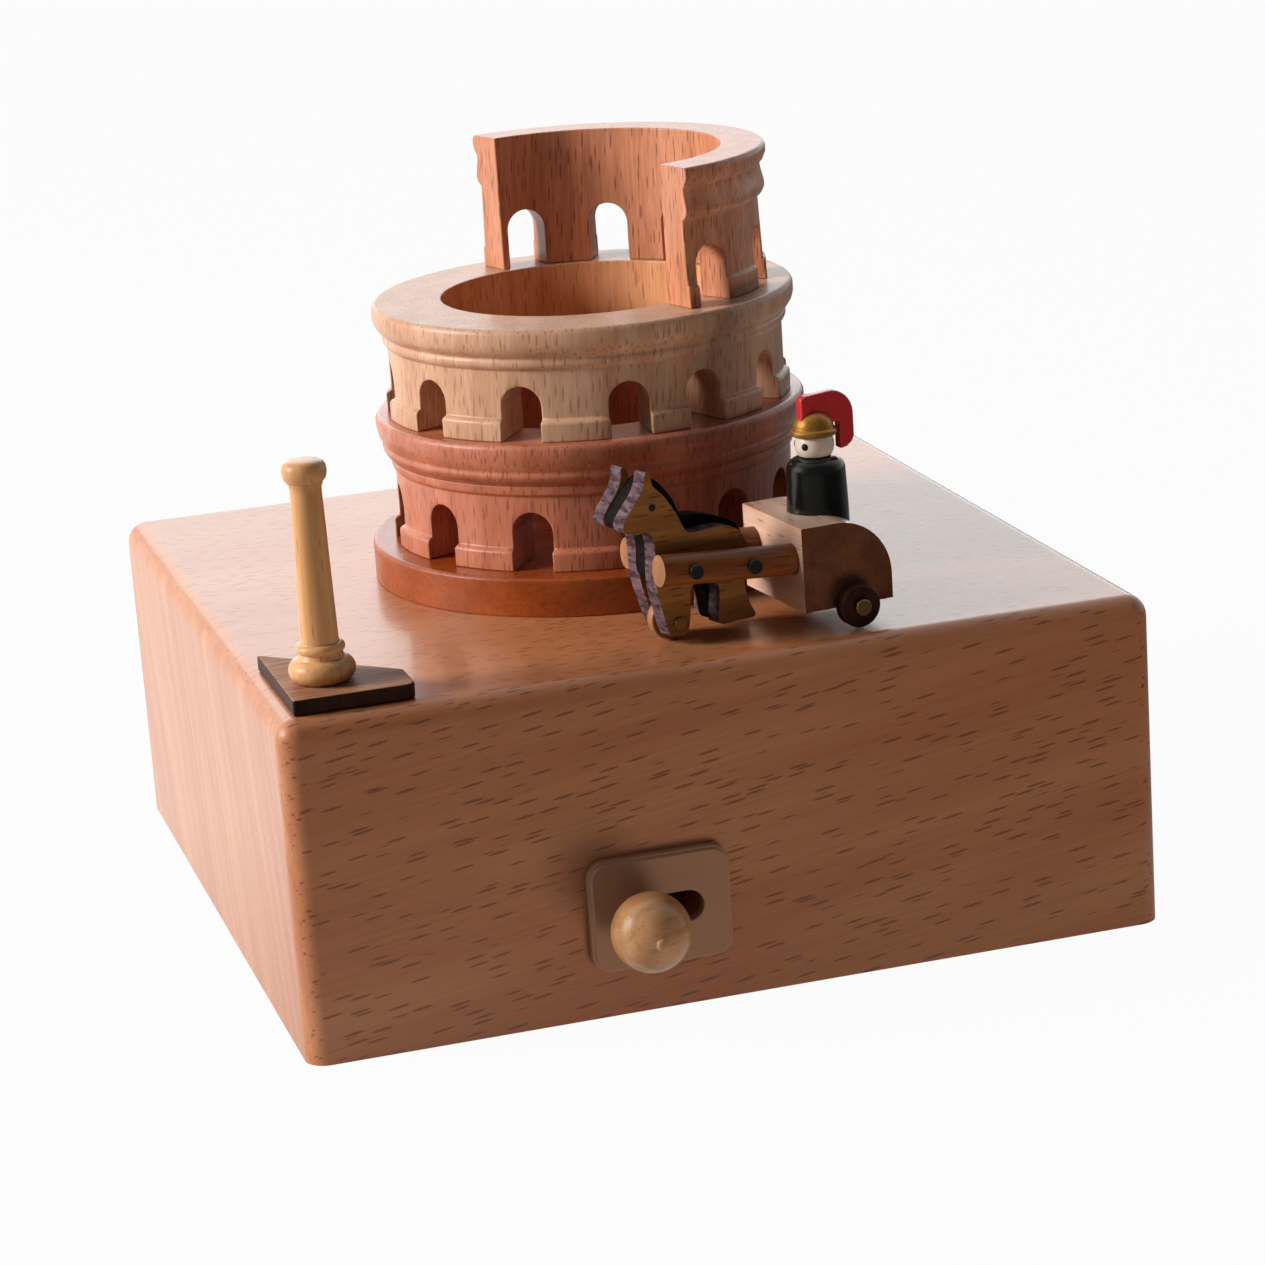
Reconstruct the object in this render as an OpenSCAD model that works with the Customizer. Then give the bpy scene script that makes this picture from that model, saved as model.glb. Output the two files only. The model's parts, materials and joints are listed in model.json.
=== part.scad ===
// Music box with a turned arena on its case and a horse and chariot that circle it.
// Millimetres. Z is up, the case stands on z = 0, and the front with the stop knob faces -Y.

/* [Case] */
// Width and depth of the square wooden case
case_width = 120; // [116:1:132]
// Height of the case
case_height = 46.5; // [45:0.5:56]
// Rounding of the top and upright edges
case_round = 3; // [2:0.5:5]
// Wood left above the chamber
top_skin = 4; // [3:0.5:6]
// Wall round the recess in the underside
recess_wall = 7; // [5:0.5:8]
// Depth of the recess up to the bottom cover
recess_depth = 10; // [9.5:0.5:12]
// Corner radius of the recess
recess_corner = 5; // [3:0.5:8]
// Thinnest wall round the turned chamber
chamber_wall = 7.5; // [6.5:0.5:9]

/* [Bottom cover] */
// Thickness of the bottom cover
cover_thick = 2.5; // [2:0.5:4]
// Gap between the cover and the recess
cover_gap = 0.3; // [0.2:0.1:0.6]
// Distance of the cover screws from the recess wall
cover_screw_inset = 7; // [5:0.5:9]
// Diameter of the cover screws
cover_screw_d = 2.6; // [2:0.2:3.4]
// Length of the cover screws
cover_screw_len = 10; // [7:0.5:14]

/* [Slot plate and stop knob] */
// Width of the slot plate
plate_width = 19.4; // [17:0.2:24]
// Height of the slot plate
plate_height = 15.4; // [12:0.2:18]
// Thickness of the slot plate
plate_thick = 1.9; // [1.2:0.1:2.5]
// Corner radius of the slot plate
plate_corner = 2.5; // [1.5:0.1:3.5]
// Sideways place of the slot plate
plate_x = -11.8; // [-13:0.2:-10]
// Length of the slot
slot_length = 11.6; // [10:0.2:13]
// Height of the slot
slot_width = 4.2; // [3.8:0.1:5]
// Diameter of the stem in the slot
stem_d = 3.2; // [2.6:0.1:3.6]
// Height of the stem above the chamber floor
stem_rise = 1.9; // [1.8:0.1:3]
// Diameter of the ball knob
knob_d = 10.6; // [9:0.2:12]
// Gap between the slot plate and the ball knob
knob_gap = 2; // [1:0.2:4]

/* [Stop slider] */
// Wood left in front of the slider pocket
pocket_wall = 6.5; // [5.5:0.5:7.5]
// Thickness of the slider guide's back plate
guide_thick = 0.8; // [0.6:0.1:1.2]
// Thickness of the slider strip
slider_thick = 1; // [0.8:0.1:1.2]
// Height of the slider strip
slider_height = 5.2; // [4.8:0.2:6]
// Sliding clearance of the strip
slider_gap = 0.2; // [0.15:0.05:0.3]
// Length of the guide's screws
guide_screw_len = 4.8; // [4:0.2:5.4]
// Width of the brake finger
finger_width = 1.2; // [0.8:0.1:1.6]
// Gap between the finger and the brake disc when stopped
brake_gap = 0.3; // [0.25:0.05:0.5]

/* [Arena] */
// Distance of the disc's edge from the chariot's track
disc_gap = 13.5; // [13:0.1:15]
// Thickness of the disc under the arena
disc_thick = 5.5; // [4:0.5:7]
// Thickness of the lower tier's wall round the well
tier_wall = 8.4; // [6:0.1:11]
// Height of the lower tier
lower_height = 18.2; // [16:0.2:22]
// Set-back of the lower tier's wall from the disc's edge
lower_set = 4.1; // [3.5:0.1:6]
// Reach of the lower tier's rim beyond its wall
lower_rim_proud = 2.3; // [1.5:0.1:3]
// Height of the middle tier
middle_height = 15.8; // [14:0.2:19]
// Set-back of the middle tier's wall from the disc's edge
middle_set = 4.4; // [3.5:0.1:6]
// Reach of the middle tier's rim beyond its wall
middle_rim_proud = 1.9; // [1.2:0.1:2.6]
// Height of the upper half ring
upper_height = 19.4; // [17:0.2:24]
// Thickness of the upper half ring's wall
upper_wall = 4.7; // [3.6:0.1:6]
// Set-back of the upper half ring's wall from the disc's edge
upper_set = 6.8; // [5.5:0.1:8]
// Reach of the upper half ring's rim beyond its wall
upper_rim_proud = 1.5; // [1:0.1:2]
// Direction that the middle of the upper half ring faces
upper_facing = 17.8; // [0:1:40]
// Distance of the half ring's saw cut from the axis
upper_cut = 0.4; // [0.2:0.2:3]
// Height of the band at the foot of each tier
band_height = 2.9; // [2:0.1:4]
// Reach of the band beyond the wall
band_proud = 0.8; // [0.5:0.1:1.2]
// Width of the arches
arch_width = 5.7; // [4.5:0.1:6.5]
// Height of the lower arches
lower_arch = 8.2; // [7:0.2:9]
// Height of the middle arches
middle_arch = 7.6; // [6.5:0.2:8.4]
// Height of the upper arches
upper_arch = 8.4; // [7:0.2:10]

/* [Column] */
// Distance of the column plinth from the sides of the case
plinth_inset = 2.8; // [2:0.2:4]
// Thickness of the column plinth
plinth_thick = 2.2; // [1.5:0.1:3]
// Length of the plinth along the left side
plinth_long = 23.5; // [21:0.5:25]
// Length of the plinth along the front
plinth_short = 16.2; // [14:0.2:17]
// Distance of the column from the left edge of the plinth
column_x = 5.6; // [5:0.1:6.2]
// Distance of the column from the front edge of the plinth
column_y = 7.4; // [6.4:0.1:8]
// Height of the column above its plinth
column_height = 29.2; // [24:0.2:36]
// Diameter of the column's foot
column_foot_d = 8.8; // [7:0.2:10]
// Diameter of the shaft at its lower end
column_low_d = 5; // [4.4:0.1:5.6]
// Diameter of the shaft at its upper end
column_high_d = 4.1; // [3.2:0.1:4.4]
// Diameter of the column's cap
column_cap_d = 6; // [5:0.1:6.6]

/* [Horse and chariot] */
// Distance of the chariot's track from the side of the case
track_inset = 14; // [13.5:0.5:15]
// Place of the chariot on its track
chariot_angle = 7.47; // [0:0.5:20]
// Gap between the wheels and the case
ride_gap = 0.15; // [0.1:0.05:0.3]
// Thickness of each of the horse's three plies
horse_ply = 2.4; // [2:0.1:2.8]
// Slant of the saw cut across each of the plies
saw_slant = 0.45; // [0:0.05:0.6]
// Further slant from one ply to the next at the horse's head
saw_twist = 0.45; // [0:0.05:0.6]
// Diameter of the two poles
pole_d = 4.2; // [3.6:0.1:4.6]
// Height of the poles above the case at the first nail
pole_rise = 10.8; // [10:0.1:11.5]
// Backward fall of the poles
pole_fall = 4.8; // [3:0.2:6]
// Length of the poles
pole_length = 23; // [21.5:0.5:26]
// Set-back of the far pole's end from the near one's
pole_lag = 0.5; // [0:0.1:0.8]
// Diameter of the nails' heads
nail_head_d = 2; // [1.6:0.1:2.4]
// Diameter of the nails' shanks
nail_d = 0.9; // [0.7:0.1:1.2]
// Front of the chariot block along the track
block_front = 5.9; // [5.4:0.1:6.4]
// Length of the chariot block
block_length = 13.1; // [12.5:0.1:15]
// Width of the chariot block
block_width = 17.8; // [16.6:0.2:18.2]
// Height of the chariot block
block_height = 11.5; // [10.6:0.1:13]
// Gap under the chariot block
block_clear = 2.75; // [2.2:0.05:3.2]
// Rounding at the top of the block's back
block_round = 8; // [6:0.2:9]
// Radius of the chariot wheels
wheel_r = 2.9; // [2.7:0.05:3.3]
// Thickness of the chariot wheels
wheel_thick = 2.2; // [1.8:0.1:2.4]
// Gap between the wheels and the block
wheel_gap = 0.3; // [0.25:0.05:0.5]
// Distance of the axle from the block's front
axle_back = 7.1; // [6.9:0.1:7.6]
// Diameter of the chariot axle
axle_d = 1.6; // [1.2:0.1:1.8]
// Radius of the front wheel
front_wheel_r = 2.85; // [2.6:0.05:3.2]
// Thickness of the front wheel
front_wheel_thick = 1.8; // [1.2:0.1:1.85]
// Place of the front axle along the horse
front_axle_x = -10; // [-10.4:0.1:-9.6]
// Diameter of the front axle
front_axle_d = 1.4; // [1:0.1:1.6]
// Diameter of the chariot magnet
chariot_magnet_d = 5; // [4:0.1:5.2]
// Height of the chariot magnet
chariot_magnet_h = 3; // [2:0.2:4]

/* [Charioteer] */
// Distance of the charioteer from the block's front
figure_back = 7; // [6:0.1:7.6]
// Depth of the charioteer's socket in the block
figure_sink = 4.2; // [3.6:0.1:4.8]
// Diameter of the charioteer's body
figure_d = 8.4; // [7.4:0.1:9]
// Height of the body above the block
figure_height = 7.4; // [6:0.1:9]
// Diameter of the head
head_d = 5.3; // [4.6:0.1:6]
// Diameter of the helmet's brim
brim_d = 6.3; // [5.6:0.1:7.2]
// Height of the helmet's dome above the brim
dome_height = 2.4; // [1.8:0.1:2.6]
// Thickness of the crest
crest_thick = 1.8; // [1.2:0.1:2.2]
// Length of the crest along the track
crest_length = 7.8; // [6.6:0.1:8.4]
// Height of the crest above the dome
crest_rise = 2.4; // [1.6:0.1:3.2]

/* [Winding] */
// Diameter of the winding arbor
arbor_d = 4; // [3.4:0.1:4.6]
// Reach of the key's wings from the axis
key_reach = 10.5; // [9.5:0.5:13]
// Radius of the key's wings
key_wing_r = 3.8; // [3.2:0.1:4]
// Thickness of the key's wings
key_thick = 1.8; // [1.4:0.1:2.4]

/* [Spring barrel and crown gear] */
// Thickness of the bedplate
bed_thick = 2; // [1.6:0.1:2.6]
// Edge of the bedplate beyond the barrel
bed_margin = 3.4; // [3.2:0.1:4]
// Distance of the third bedplate screw from the governor
bed_screw_back = 8; // [7:0.2:9]
// Edge of the bedplate beyond the governor's column
bed_edge = 6; // [5.4:0.1:6.6]
// Radius of the spring barrel
barrel_r = 14; // [13.4:0.1:14.4]
// Wall of the spring barrel
barrel_wall = 1; // [0.8:0.1:1.4]
// Thickness of the mainspring
spring_thick = 0.45; // [0.35:0.05:0.55]
// Turns of the mainspring
spring_turns = 6; // [4:1:7]
// Distance of the middle of the crown gear's teeth from the barrel's rim
crown_inset = 1.75; // [1.45:0.05:2]
// Width of the crown gear's teeth
crown_face = 2.5; // [2:0.1:2.8]
// Height of the crown gear's teeth
crown_tooth = 1.6; // [1.4:0.1:1.8]
// Thickness of the crown gear's disc
crown_thick = 1.5; // [1.2:0.1:2]
// Diameter of the output shaft
shaft_d = 4.4; // [3.8:0.1:5]

/* [Magnet arm] */
// Thickness of the magnet arm
arm_thick = 1.8; // [1.4:0.1:2.4]
// Width of the magnet arm
arm_width = 7; // [5:0.2:7.6]
// Diameter of the drive magnet
magnet_d = 7.6; // [6:0.2:8.4]
// Height of the drive magnet
magnet_h = 1.8; // [1.4:0.1:2.4]
// Gap between the drive magnet and the top of the chamber
ceiling_gap = 0.5; // [0.3:0.1:1]
// Gap between the arm and the cylinder's pins
arm_gap = 1; // [0.6:0.1:1.6]

/* [Cylinder and comb] */
// Radius of the music cylinder
drum_r = 6; // [5.6:0.1:6.4]
// Length of the cylinder's pins
pin_length = 0.5; // [0.4:0.05:0.7]
// Diameter of the cylinder's pins
pin_d = 0.5; // [0.4:0.05:0.6]
// Diameter of the cylinder's arbor
drum_arbor_d = 2.4; // [2:0.1:2.8]
// Number of teeth of the comb
comb_teeth = 18; // [12:1:20]
// Thickness of the comb
comb_thick = 1; // [0.8:0.1:1.2]
// Slit between two teeth of the comb
comb_slit = 0.3; // [0.2:0.05:0.4]
// Length of the comb's teeth
comb_tooth_len = 9; // [7:0.5:11]
// Depth of the comb's back
comb_back = 9; // [8:0.5:10]
// Gap between the pins and the comb's tips
comb_gap = 0.3; // [0.2:0.05:0.5]
// Width of the bearing posts
post_width = 6.4; // [5.6:0.2:7]
// Length of the bearing posts' feet
foot_length = 4; // [3.6:0.1:4.4]
// Thickness of the bearing posts
post_thick = 1.6; // [1.2:0.1:1.8]
// Diameter of the movement's screws
screw_d = 1.8; // [1.4:0.1:2.2]

/* [Governor] */
// Module of the cylinder wheel and its pinion
train_module = 0.55; // [0.5:0.01:0.58]
// Drop of the second arbor below the cylinder
second_drop = 2; // [1:0.1:3]
// Diameter of the second arbor
second_d = 1.8; // [1.4:0.1:2]
// Pitch radius of the worm wheel
worm_wheel_r = 4.05; // [3.8:0.05:4.3]
// Pitch radius of the worm
worm_r = 1.6; // [1.5:0.05:1.8]
// Rise of the governor's frame above the second arbor
frame_rise = 6.2; // [5.4:0.1:6.8]
// Reach of the governor frame's foot
frame_foot = 5.2; // [4.8:0.1:5.6]
// Length of the worm's thread
worm_len = 4.6; // [4.4:0.1:5.4]
// Thickness of the brake disc
brake_thick = 1.6; // [1.4:0.1:2]
// Reach of the fly's vanes
fly_r = 4.4; // [3.8:0.1:4.8]
// Height of the fly's vanes
fly_height = 3.6; // [3:0.1:4]
// Radius of the brake disc
brake_r = 2.5; // [2.2:0.1:2.9]
// Radial clearance of shafts in their bearings
run_gap = 0.06; // [0.04:0.01:0.09]

/* [Hidden] */
$fn = 64;
fit = 0.03;
half = case_width / 2;
top_z = case_height;
floor_z = recess_depth + cover_thick;
recess_half = half - recess_wall;
chamber_r = half - chamber_wall;
chamber_top = top_z - top_skin;
cover_half = recess_half - cover_gap;
cover_screw_at = recess_half - cover_screw_inset;
cover_head_d = cover_screw_d * 1.9;
cover_head_h = cover_screw_d * 0.55;
// Front knob and slider
plate_z = floor_z + stem_rise;
slot_half = (slot_length - slot_width) / 2;
knob_x = plate_x - slot_half;
plate_y = -half - plate_thick;
knob_y = plate_y - knob_gap - knob_d / 2;
pocket_y = -half + pocket_wall;
strip_y0 = pocket_y + guide_thick + slider_gap;
strip_y1 = strip_y0 + slider_thick;
strip_z0 = plate_z - 1.4;
strip_z1 = strip_z0 + slider_height;
rail_z0 = strip_z1 + slider_gap;
rail_z1 = rail_z0 + 1;
lip_y0 = strip_y1 + slider_gap;
lip_y1 = lip_y0 + 0.8;
guide_z1 = rail_z1 + 3.6;
pocket_x0 = knob_x - 12.6;
pocket_x1 = knob_x + 2 * slot_half + 10.4;
finger_y0 = lip_y1 + 0.4;
// Arena
track_r = half - track_inset;
disc_r = track_r - disc_gap;
lower_wall_r = disc_r - lower_set;
well_r = lower_wall_r - tier_wall;
middle_wall_r = disc_r - middle_set;
upper_wall_r = disc_r - upper_set;
upper_bore_r = upper_wall_r - upper_wall;
arch_reach = disc_r + 2;
lower_z = top_z + disc_thick;
middle_z = lower_z + lower_height;
upper_z = middle_z + middle_height;
// Chariot
horse_half = horse_ply * 1.5;
pole_y = horse_half + pole_d / 2 + 0.02;
front_axle_z = front_wheel_r + ride_gap;
axle_z = wheel_r + ride_gap;
axle_x = block_front + axle_back;
block_half = block_width / 2;
wheel_in = block_half + wheel_gap;
wheel_out = wheel_in + wheel_thick;
block_top = block_clear + block_height;
block_back = block_front + block_length;
nail_x1 = -9.1;
nail_x2 = -0.6;
pole_x0 = -13.5;
saw_z0 = 6;
saw_z1 = 19;
figure_x = block_front + figure_back;
chariot_magnet_x = block_front + chariot_magnet_d / 2 + 0.8;
neck_z = block_top + figure_height;
head_z = neck_z + 0.28 * head_d;
brim_z = head_z + 0.24 * head_d;
brim_thick = 1;
dome_r = brim_d / 2 - 0.4;
dome_top = brim_z + brim_thick + dome_height;
crest_top = dome_top + crest_rise;
// Movement heights
bed_z = floor_z + bed_thick;
arm_z1 = chamber_top - ceiling_gap - magnet_h;
arm_z0 = arm_z1 - arm_thick;
pin_r = drum_r + pin_length;
axis_z = arm_z0 - arm_gap - pin_r;
crown_r = barrel_r - crown_inset;
crown_teeth = 40;
pinion_teeth = 10;
pinion_r = crown_r * pinion_teeth / crown_teeth;
crown_z1 = axis_z - pinion_r - crown_tooth / 2;
crown_z0 = crown_z1 - crown_thick;
barrel_z0 = bed_z + 0.6;
arbor_r = arbor_d / 2;
shaft_r = shaft_d / 2;
magnet_r = sqrt(track_r * track_r + chariot_magnet_x * chariot_magnet_x);
magnet_angle = chariot_angle + atan2(-track_r, chariot_magnet_x);
// Movement lengths along the cylinder
post_x = barrel_r + 0.9;
drum_x0 = post_x + post_thick + 1.3;
gov_x = chamber_r - 10.5;
far_x = gov_x - 6.1;
far_thick = 1.2;
drum_x1 = far_x - 0.8;
drum_len = drum_x1 - drum_x0;
wheel_x0 = gov_x - 3.7;
wheel_face = 1.5;
wheel_teeth = 20;
wheel_pitch = wheel_teeth * train_module / 2;
second_teeth = 10;
second_pitch = second_teeth * train_module / 2;
train_dist = wheel_pitch + second_pitch;
second_y = -sqrt(train_dist * train_dist - second_drop * second_drop);
second_z = axis_z - second_drop;
line_angle = atan2(-second_drop, second_y);
worm_y = second_y - worm_wheel_r - worm_r;
worm_teeth = 18;
worm_pitch = 2 * PI * worm_wheel_r / worm_teeth;
worm_lead = 2 * worm_pitch;
bracket_foot = 1.3;
brake_z0 = bed_z + bracket_foot + 0.4;
fly_z0 = brake_z0 + brake_thick + 0.4;
frame_top = second_z + frame_rise;
frame_col = worm_y - fly_r - 0.7;
comb_y0 = pin_r + comb_gap;
comb_y1 = comb_y0 + comb_tooth_len;
comb_y2 = comb_y1 + comb_back;
comb_z0 = axis_z - comb_thick / 2;
comb_pitch = drum_len / comb_teeth;
comb_screw_y = comb_y1 + comb_back / 2;
comb_screw_x = [drum_x0 + drum_len * 0.25, drum_x0 + drum_len * 0.75];
bed_screw_r = barrel_r + bed_margin - 1.8;
bed_screws = [[-bed_screw_r * cos(42), bed_screw_r * sin(42)],
    [-bed_screw_r * cos(42), -bed_screw_r * sin(42)], [gov_x - bed_screw_back, frame_col - 2.25]];
bracket_screws_at = [[post_x + post_thick + foot_length / 2, 0], [far_x - foot_length / 2, 0],
    [gov_x, frame_col - 0.65 * frame_foot]];

// Shared shapes
module rounded_square(w, d, r) {
    square([w - 2 * r, d], center = true);
    square([w, d - 2 * r], center = true);
    for (sx = [-1, 1], sy = [-1, 1])
        translate([sx * (w / 2 - r), sy * (d / 2 - r)]) circle(r);
}

module long_slot(len, w) {
    square([len - w, w], center = true);
    for (s = [-1, 1]) translate([s * (len - w) / 2, 0]) circle(w / 2);
}

module screw(d, len, head_d, head_h) {
    translate([0, 0, -len]) cylinder(d = d, h = len + head_h / 2);
    difference() {
        cylinder(d = head_d, h = head_h);
        translate([-head_d, -head_d * 0.08, head_h * 0.55]) cube([2 * head_d, head_d * 0.16, head_h]);
    }
}

module ring(r1, r0, h) {
    difference() {
        cylinder(r = r1, h = h);
        translate([0, 0, -1]) cylinder(r = r0, h = h + 2);
    }
}

module along_x(x, y, z) {
    translate([x, y, z]) rotate([0, 90, 0]) children();
}

module in_movement() {
    rotate([0, 0, -90]) children();
}

module in_chariot() {
    rotate([0, 0, chariot_angle]) translate([0, -track_r, top_z]) children();
}

module across(x, z) {
    translate([x, 0, z]) rotate([90, 0, 0]) children();
}

module spur(teeth, root_r, tip_r, root_t, tip_t, turn, face) {
    linear_extrude(face) {
        circle(root_r);
        for (i = [0 : teeth - 1])
            rotate(turn + 360 * i / teeth)
                polygon([[root_r * 0.8, -root_t / 2], [root_r, -root_t / 2], [tip_r, -tip_t / 2],
                    [tip_r, tip_t / 2], [root_r, root_t / 2], [root_r * 0.8, root_t / 2]]);
    }
}

function knot(a, b, c, d, t) = 0.5 * (2 * b + (c - a) * t + (2 * a - 5 * b + 4 * c - d) * t * t
    + (3 * b - a - 3 * c + d) * t * t * t);
function smooth(p, n) = [for (i = [0 : len(p) - 1]) for (k = [0 : n - 1])
    knot(p[(i + len(p) - 1) % len(p)], p[i], p[(i + 1) % len(p)], p[(i + 2) % len(p)], k / n)];
function bow(cx, cy, r, a0, a1, n) = [for (i = [0 : n]) [cx + r * cos(a0 + (a1 - a0) * i / n),
    cy + r * sin(a0 + (a1 - a0) * i / n)]];

// Case
module case_block() {
    linear_extrude(top_z - case_round) rounded_square(case_width, case_width, case_round);
    translate([0, 0, top_z - case_round]) {
        linear_extrude(case_round) square(case_width - 2 * case_round, center = true);
        for (a = [0 : 90 : 270]) rotate([0, 0, a]) {
            along_x(-half + case_round, half - case_round, 0)
                cylinder(r = case_round, h = case_width - 2 * case_round);
            translate([half - case_round, half - case_round, 0]) sphere(case_round);
        }
    }
}

module case() {
    color("burlywood") difference() {
        case_block();
        translate([0, 0, -1]) linear_extrude(floor_z + 1)
            rounded_square(2 * recess_half, 2 * recess_half, recess_corner);
        translate([0, 0, floor_z - 1]) cylinder(r = chamber_r, h = chamber_top - floor_z + 1, $fn = 128);
        translate([pocket_x0, pocket_y, floor_z - 1])
            cube([pocket_x1 - pocket_x0, 14, guide_z1 + 0.5 - floor_z + 1]);
        translate([plate_x, pocket_y + 1, plate_z]) rotate([90, 0, 0])
            linear_extrude(pocket_wall + 2) long_slot(slot_length + 0.8, slot_width + 0.8);
        for (sx = [-1, 1], sy = [-1, 1])
            translate([sx * cover_screw_at, sy * cover_screw_at, floor_z - 0.5])
                cylinder(d = cover_screw_d + 2 * fit, h = cover_screw_len - cover_thick + 1);
        for (x = guide_screw_x)
            translate([x, pocket_y + 0.5, guide_z1 - 1.7]) rotate([90, 0, 0])
                cylinder(d = screw_d + 2 * fit, h = guide_screw_len + 0.2);
    }
}

module bottom_cover() {
    color("peru") difference() {
        translate([0, 0, recess_depth]) linear_extrude(cover_thick)
            rounded_square(2 * cover_half, 2 * cover_half, recess_corner);
        translate([0, 0, recess_depth - 1]) {
            cylinder(r = arbor_r + 4, h = cover_thick + 2);
            for (sx = [-1, 1], sy = [-1, 1])
                translate([sx * cover_screw_at, sy * cover_screw_at, 0])
                    cylinder(d = cover_screw_d + 0.3, h = cover_thick + 2);
            in_movement() for (p = bed_screws) translate([p[0], p[1], 0])
                cylinder(d = screw_d + 0.3, h = cover_thick + 2);
        }
    }
}

module cover_screws() {
    color("silver") for (sx = [-1, 1], sy = [-1, 1])
        translate([sx * cover_screw_at, sy * cover_screw_at, recess_depth]) rotate([180, 0, 0])
            screw(cover_screw_d, cover_screw_len, cover_head_d, cover_head_h);
}

// Slot plate, knob and slider
module slot_plate() {
    color("tan") difference() {
        translate([plate_x, -half, plate_z]) rotate([90, 0, 0]) {
            linear_extrude(plate_thick * 0.75) rounded_square(plate_width, plate_height, plate_corner);
            linear_extrude(plate_thick)
                rounded_square(plate_width - 0.8, plate_height - 0.8, plate_corner - 0.4);
        }
        translate([plate_x, -half + 1, plate_z]) rotate([90, 0, 0])
            linear_extrude(plate_thick + 2) long_slot(slot_length, slot_width);
    }
}

module stop_knob() {
    color("wheat") difference() {
        union() {
            translate([knob_x, knob_y, plate_z]) sphere(d = knob_d);
            translate([knob_x, knob_y - knob_d / 2 + 0.3, plate_z]) rotate([90, 0, 0])
                cylinder(d = 1.6, h = 0.6);
        }
        translate([knob_x, knob_y - 1, plate_z]) rotate([-90, 0, 0])
            cylinder(d = stem_d + 2 * fit, h = knob_d);
    }
}

module stop_stem() {
    color("sienna") {
        translate([knob_x, knob_y - 0.9, plate_z]) rotate([-90, 0, 0])
            cylinder(d = stem_d, h = strip_y0 - knob_y + 0.9);
        translate([knob_x, strip_y0 - 1, plate_z]) rotate([-90, 0, 0])
            cylinder(d = stem_d * 0.6, h = slider_thick + 1);
    }
}

finger_x = worm_y + brake_r + brake_gap;
finger_z0 = brake_z0 + 0.1;
finger_z1 = brake_z0 + brake_thick - 0.1;
finger_tip = -gov_x + 1.4;
strip_x0 = knob_x - 8.4;
strip_x1 = max(knob_x + 7.6, finger_x + finger_width + 1);
guide_x0 = strip_x0 - 2.6;
guide_x1 = strip_x1 + 2 * slot_half + 1.6;
guide_screw_x = [guide_x0 + 3, guide_x1 - 3];

module stop_slider() {
    color("goldenrod") difference() {
        union() {
            translate([strip_x0, strip_y0, strip_z0])
                cube([strip_x1 - strip_x0, slider_thick, slider_height]);
            translate([finger_x, 0, 0]) rotate([90, 0, 90]) linear_extrude(finger_width)
                polygon([[strip_y0, strip_z0 + 0.4], [finger_y0 + 1.2, strip_z0 + 0.4],
                    [finger_y0 + 1.2, finger_z0], [finger_tip, finger_z0],
                    [finger_tip, finger_z1], [finger_y0, finger_z1],
                    [finger_y0, rail_z0 - 1.6], [strip_y0, rail_z0 - 1.6]]);
        }
        translate([knob_x, strip_y0 - 1, plate_z]) rotate([-90, 0, 0])
            cylinder(d = stem_d * 0.6 + 2 * fit, h = slider_thick + 2);
    }
}

module slider_guide() {
    color("silver") difference() {
        union() {
            translate([guide_x0, pocket_y, floor_z])
                cube([guide_x1 - guide_x0, guide_thick, guide_z1 - floor_z]);
            translate([guide_x0, pocket_y, rail_z0])
                cube([guide_x1 - guide_x0, lip_y1 - pocket_y, rail_z1 - rail_z0]);
            translate([guide_x0, lip_y0, rail_z0 - 1.2]) cube([guide_x1 - guide_x0, lip_y1 - lip_y0, 2]);
        }
        translate([plate_x, pocket_y + guide_thick + 1, plate_z]) rotate([90, 0, 0])
            linear_extrude(guide_thick + 2) long_slot(slot_length + 0.8, slot_width + 0.8);
        for (x = guide_screw_x) translate([x, pocket_y + 2, guide_z1 - 1.7]) rotate([90, 0, 0])
            cylinder(d = screw_d + 0.2, h = 4);
    }
}

module guide_screws() {
    color("gray") for (x = guide_screw_x)
        translate([x, pocket_y + guide_thick, guide_z1 - 1.7]) rotate([-90, 0, 0])
            screw(screw_d, guide_screw_len, screw_d * 1.8, 0.5 * screw_d);
}

// Arena
module arena_disc() {
    color("saddlebrown") translate([0, 0, top_z]) rotate_extrude($fn = 128)
        polygon([[0, 0], [disc_r, 0], [disc_r, disc_thick - 0.6], [disc_r - 0.2, disc_thick - 0.18],
            [disc_r - 0.6, disc_thick], [0, disc_thick]]);
}

module arches(at, h, from_r) {
    for (a = at)
        rotate([0, 0, a]) translate([from_r, 0, -1]) rotate([90, 0, 90]) linear_extrude(arch_reach - from_r) {
            translate([-arch_width / 2, 0]) square([arch_width, 1 + h - arch_width / 2]);
            translate([0, 1 + h - arch_width / 2]) circle(arch_width / 2);
        }
}

lower_arches = [-154.5, -123.8, -93, -63.3, -38, -9, 20, 50, 80, 110, 140, 174];
middle_arches = [-156, -124.6, -94, -71, -43, -14, 16, 46, 76, 106, 138, 172];
upper_arches = [95.7, 62.2, 31, 1, -29, -61];

module arena_lower_tier() {
    w = lower_wall_r;
    p = lower_rim_proud;
    h = lower_height;
    color("sienna") translate([0, 0, lower_z]) difference() {
        rotate_extrude($fn = 128) polygon([[well_r, 0], [w + band_proud, 0],
            [w + band_proud, band_height - 0.3], [w + band_proud - 0.3, band_height], [w, band_height + 0.2],
            [w, h - 7.7], [w + 0.2 * p, h - 7.4], [w + 0.28 * p, h - 6.2], [w + 0.2 * p, h - 5.9],
            [w + 0.55 * p, h - 5.4], [w + 0.72 * p, h - 4.6], [w + 0.62 * p, h - 4], [w + 0.86 * p, h - 3],
            [w + p, h - 1.6], [w + p, h - 0.8], [w + 0.88 * p, h - 0.25], [w + 0.66 * p, h], [well_r, h]]);
        arches(lower_arches, lower_arch, well_r - 2);
    }
}

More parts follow.
